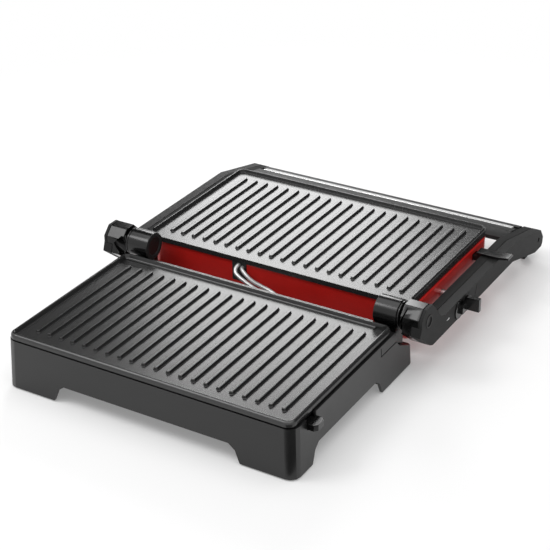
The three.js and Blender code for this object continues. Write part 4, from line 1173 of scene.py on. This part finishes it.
@dataclass
class ArmSide:
    """Arm, its cover with slots and arrow, and the rest pad on one side."""

    side: Side
    edge: float = 0.9
    shortest: float = 3.5
    notch_right: Outline = (
        (159.6, 77.0), (154.8, 60.5), (159.6, 44.0), (161.0, 44.0), (156.2, 60.5), (161.0, 77.0),
    )
    notch_left: Outline = (
        (-153.0, 69.5), (-153.0, 52.0), (-157.0, 52.0), (-165.5, 61.0), (-157.5, 69.5),
    )
    notch_y: Point = (183.0, 195.5)
    face: float = 177.0
    cut_over: float = 2.0
    slot_depth: float = 0.9
    slot_half: float = 0.45
    slots: tuple[Outline, ...] = (((311.8, 47.8), (307.7, 35.6)), ((293.0, 48.0), (288.5, 44.9)))
    screw_spot: Point = (473.8, 23.8)
    screw_radius: float = 2.6
    screw_steps: int = 24
    arrow_spot: Point = (246.5, 41.3)
    arrow_height: Point = (-0.2, 0.06)
    arrow: Outline = (
        (-3.2, -0.35), (0.6, -0.35), (0.6, -1.3), (3.2, 0.0), (0.6, 1.3), (0.6, 0.35), (-3.2, 0.35),
    )
    pad: tuple[Point, Point, Point] = ((159.5, 165.5), (467.5, 477.5), (0.0, 11.7))
    pad_edge: float = 0.8

    def build(self) -> None:
        """Builds the arm's pieces on this side."""
        word = self.side.word
        shapes = (("arm_bar", BAR, "arm", [self._notch()]), ("arm_shell", ARM, "arm_cover", self._recesses()))
        for name, finish, node, cutters in shapes:
            form = Form.copied(f"{node}_{word}").soften(self.edge, EDGE_STEPS, shortest=self.shortest)
            form.cut(cutters).piece(f"{name}_{word}", Body.LID, finish, [f"{node}_{word}"])
        self._arrow().piece(f"arm_arrow_{word}", Body.LID, MARK)
        width, depth, height = self.pad
        pad = Form.block(self.side.span(*width), depth, height).soften(self.pad_edge)
        pad.piece(f"rest_foot_{word}", Body.LID, RUBBER, [f"rest_pad_{word}"])

    def _notch(self) -> Form:
        """Cutter of the hub's notch: a thin chevron on the right, a wide V on the left."""
        outline = self.notch_right if self.side is Side.RIGHT else self.notch_left
        return Form.prism(Axis.Y, outline, *self.notch_y)

    def _recesses(self) -> list[Form]:
        """Cutters of the outer face's slots and of the screw's recess."""
        reach = self.side.span(self.face - self.slot_depth, self.face + self.cut_over)
        radius = self.screw_radius
        recess = [(0.0, reach[0]), (radius, reach[0]), (radius, reach[1]), (0.0, reach[1])]
        screw = Form.turned(Axis.X, self.screw_spot, recess, self.screw_steps)
        return [self._slot(first, last, reach) for first, last in self.slots] + [screw]

    def _slot(self, first: Point, last: Point, reach: Point) -> Form:
        """Cutter of a narrow straight slot between two points of the outer face."""
        start, end = Vector(first), Vector(last)
        along = (end - start).normalized() * self.slot_half
        across = Vector((-along.y, along.x))
        outline = [start - along + across, start - along - across, end + along - across, end + along + across]
        return Form.prism(Axis.X, outline, *reach)

    def _arrow(self) -> Form:
        """Printed arrow on the outer face, as a thin raised mark."""
        y, z = self.arrow_spot
        low, high = self.arrow_height
        outline = [(y + across, z + up) for across, up in self.arrow]
        return Form.prism(Axis.X, outline, *self.side.span(self.face + low, self.face + high))


@dataclass
class Handle:
    """Handle bar between the arms, with its bright strip."""

    half: float = 157.1
    edge: float = 0.5
    bend: float = 24.0
    shortest: float = 20.0
    section: Outline = (
        (433.1, 37.0), (434.4, 33.0), (438.0, 30.9), (470.6, 20.2), (474.4, 22.2), (476.0, 27.2),
        (476.0, 33.4), (475.0, 34.6), (473.4, 35.2), (465.9, 37.0), (465.9, 34.9), (457.6, 36.8),
        (457.6, 38.9), (449.0, 40.9), (446.0, 41.3), (443.0, 41.3), (440.0, 40.9), (437.0, 40.1),
        (434.8, 39.0), (433.5, 38.0),
    )

    def build(self) -> None:
        """Builds the bar and the strip."""
        bar = Form.prism(Axis.X, self.section, -self.half, self.half)
        bar.soften(self.edge, angle=self.bend, shortest=self.shortest)
        bar.piece("grip_bar", Body.LID, HANDLE, ["handle_bar"])
        SoftCopy("handle_strip", "grip_strip", Body.LID, TRIM, self.edge, EDGE_STEPS).build()


@dataclass
class LinkLeads:
    """The two silver leads that run from the base to the lid."""

    radius: float = 2.0
    start: Spot = (20.0, 204.0, 45.0)
    end: Spot = (-44.0, 204.0, 45.0)
    route_steps: int = 8
    round_steps: int = 5
    outer: tuple[Spot, ...] = (
        (-40.2, 225.7, 52.2), (-40.3, 223.2, 52.1), (-40.6, 219.8, 50.4), (-39.2, 217, 47.6),
        (-34.6, 214.8, 45.5), (-26.9, 212.3, 43.7), (-18.5, 209.6, 42.3), (-7.4, 206.5, 41),
        (6, 204, 39.3), (18, 202.4, 37.3), (27, 202, 36.5), (29.7, 202, 36.5),
    )
    inner: tuple[Spot, ...] = (
        (-36.2, 225.7, 49.9), (-36.2, 224.3, 49.9), (-34.9, 222.2, 49.6), (-31.3, 219.8, 48.2),
        (-25.4, 217, 46.3), (-18.5, 213.9, 45.2), (-5.5, 209.8, 44.6), (8, 206.4, 43.7),
        (19, 203.2, 41.7), (27, 202, 40.8), (29.7, 202, 40.8),
    )

    def build(self) -> None:
        """Builds both leads."""
        for name, route in (("outer", self.outer), ("inner", self.inner)):
            self._lead(f"silver_lead_{name}", f"link_lead_{name}", route)

    def _lead(self, name: str, node: str, route: Sequence[Spot]) -> None:
        """Makes one lead as a smooth tube along its route."""
        curve = bpy.data.curves.new(name, "CURVE")
        curve.dimensions = "3D"
        curve.resolution_u = self.route_steps
        curve.bevel_depth = self.radius * METRES
        curve.bevel_resolution = self.round_steps
        curve.use_fill_caps = True
        spline = curve.splines.new("BEZIER")
        spline.bezier_points.add(len(route) - 1)
        for point, spot in zip(spline.bezier_points, route):
            point.co = DATUM.point(spot)
            point.handle_left_type = "AUTO"
            point.handle_right_type = "AUTO"
        loose = linked(f"{name}_path", curve)
        bpy.context.view_layer.update()
        evaluated = loose.evaluated_get(bpy.context.evaluated_depsgraph_get())
        form = Form()
        form.bm.from_mesh(evaluated.to_mesh())
        evaluated.to_mesh_clear()
        bpy.data.objects.remove(loose)
        bmesh.ops.transform(form.bm, matrix=DATUM.to_part, verts=form.bm.verts)
        ends = (DATUM.point(self.start), DATUM.point(self.end))
        form.closed().piece_between(name, node, LEAD, (Body.BASE, Body.LID), ends)


@dataclass
class HeldPieces:
    """CAD nodes that keep their own shape, small pieces with soft edges, and the springs."""

    kept: tuple[tuple[Finish, tuple[str, ...]], ...] = (
        (STEEL, ("lower_reflector", "upper_reflector", "hinge_pin_right", "hinge_pin_left",
                 "lid_pin_right", "lid_pin_left")),
        (ELEMENT, ("lower_heater", "upper_heater")),
        (CERAMIC, ("lower_thermostat", "upper_thermostat", "terminal_block")),
    )
    softened: tuple[tuple[Finish, Body, float, tuple[str, ...]], ...] = (
        (STEEL, Body.BASE, 0.25, ("cover_screw_1", "cover_screw_2", "cover_screw_3", "cover_screw_4")),
        (STEEL, Body.LID, 0.25, ("handle_screw_right", "handle_screw_left")),
        (RUBBER, Body.BASE, 0.4, ("mains_inlet", "link_bush_base")),
        (RUBBER, Body.LID, 0.4, ("link_bush_lid",)),
        (LENS, Body.LID, 0.4, ("power_lamp", "ready_lamp")),
    )
    springs: tuple[tuple[str, Body, Body], ...] = (
        ("lower_button_spring", Body.BASE, Body.LOWER_BUTTON),
        ("upper_button_spring", Body.LID, Body.UPPER_BUTTON),
    )

    def build(self) -> None:
        """Dresses the kept nodes and builds the softened ones and the springs."""
        for finish, names in self.kept:
            for name in names:
                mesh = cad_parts[name].data
                mesh.materials.clear()
                mesh.materials.append(finish.material())
        for finish, body, width, names in self.softened:
            for name in names:
                SoftCopy(name, f"soft_{name}", body, finish, width).build()
        for name, seat, button in self.springs:
            low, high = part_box(name)
            ends = (Vector((low.x, low.y, low.z)), Vector((high.x, low.y, low.z)))
            Form.copied(name).piece_between(f"coil_{name}", name, STEEL, (seat, button), ends)


def main() -> None:
    """Builds the studio and the grill."""
    logging.basicConfig(level=logging.INFO, format="%(message)s")
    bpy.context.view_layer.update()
    bpy.context.scene.view_settings.view_transform = "Standard"
    Camera().build()
    Studio().build()
    BaseHousing().build()
    LowerPlate().build()
    UpperPlate().build()
    LID_SHELL.build()
    for side in Side:
        HingeSide(side).build()
        ArmSide(side).build()
    Handle().build()
    for control in CONTROLS:
        control.build()
    LinkLeads().build()
    HeldPieces().build()


if __name__ == "__main__":
    main()
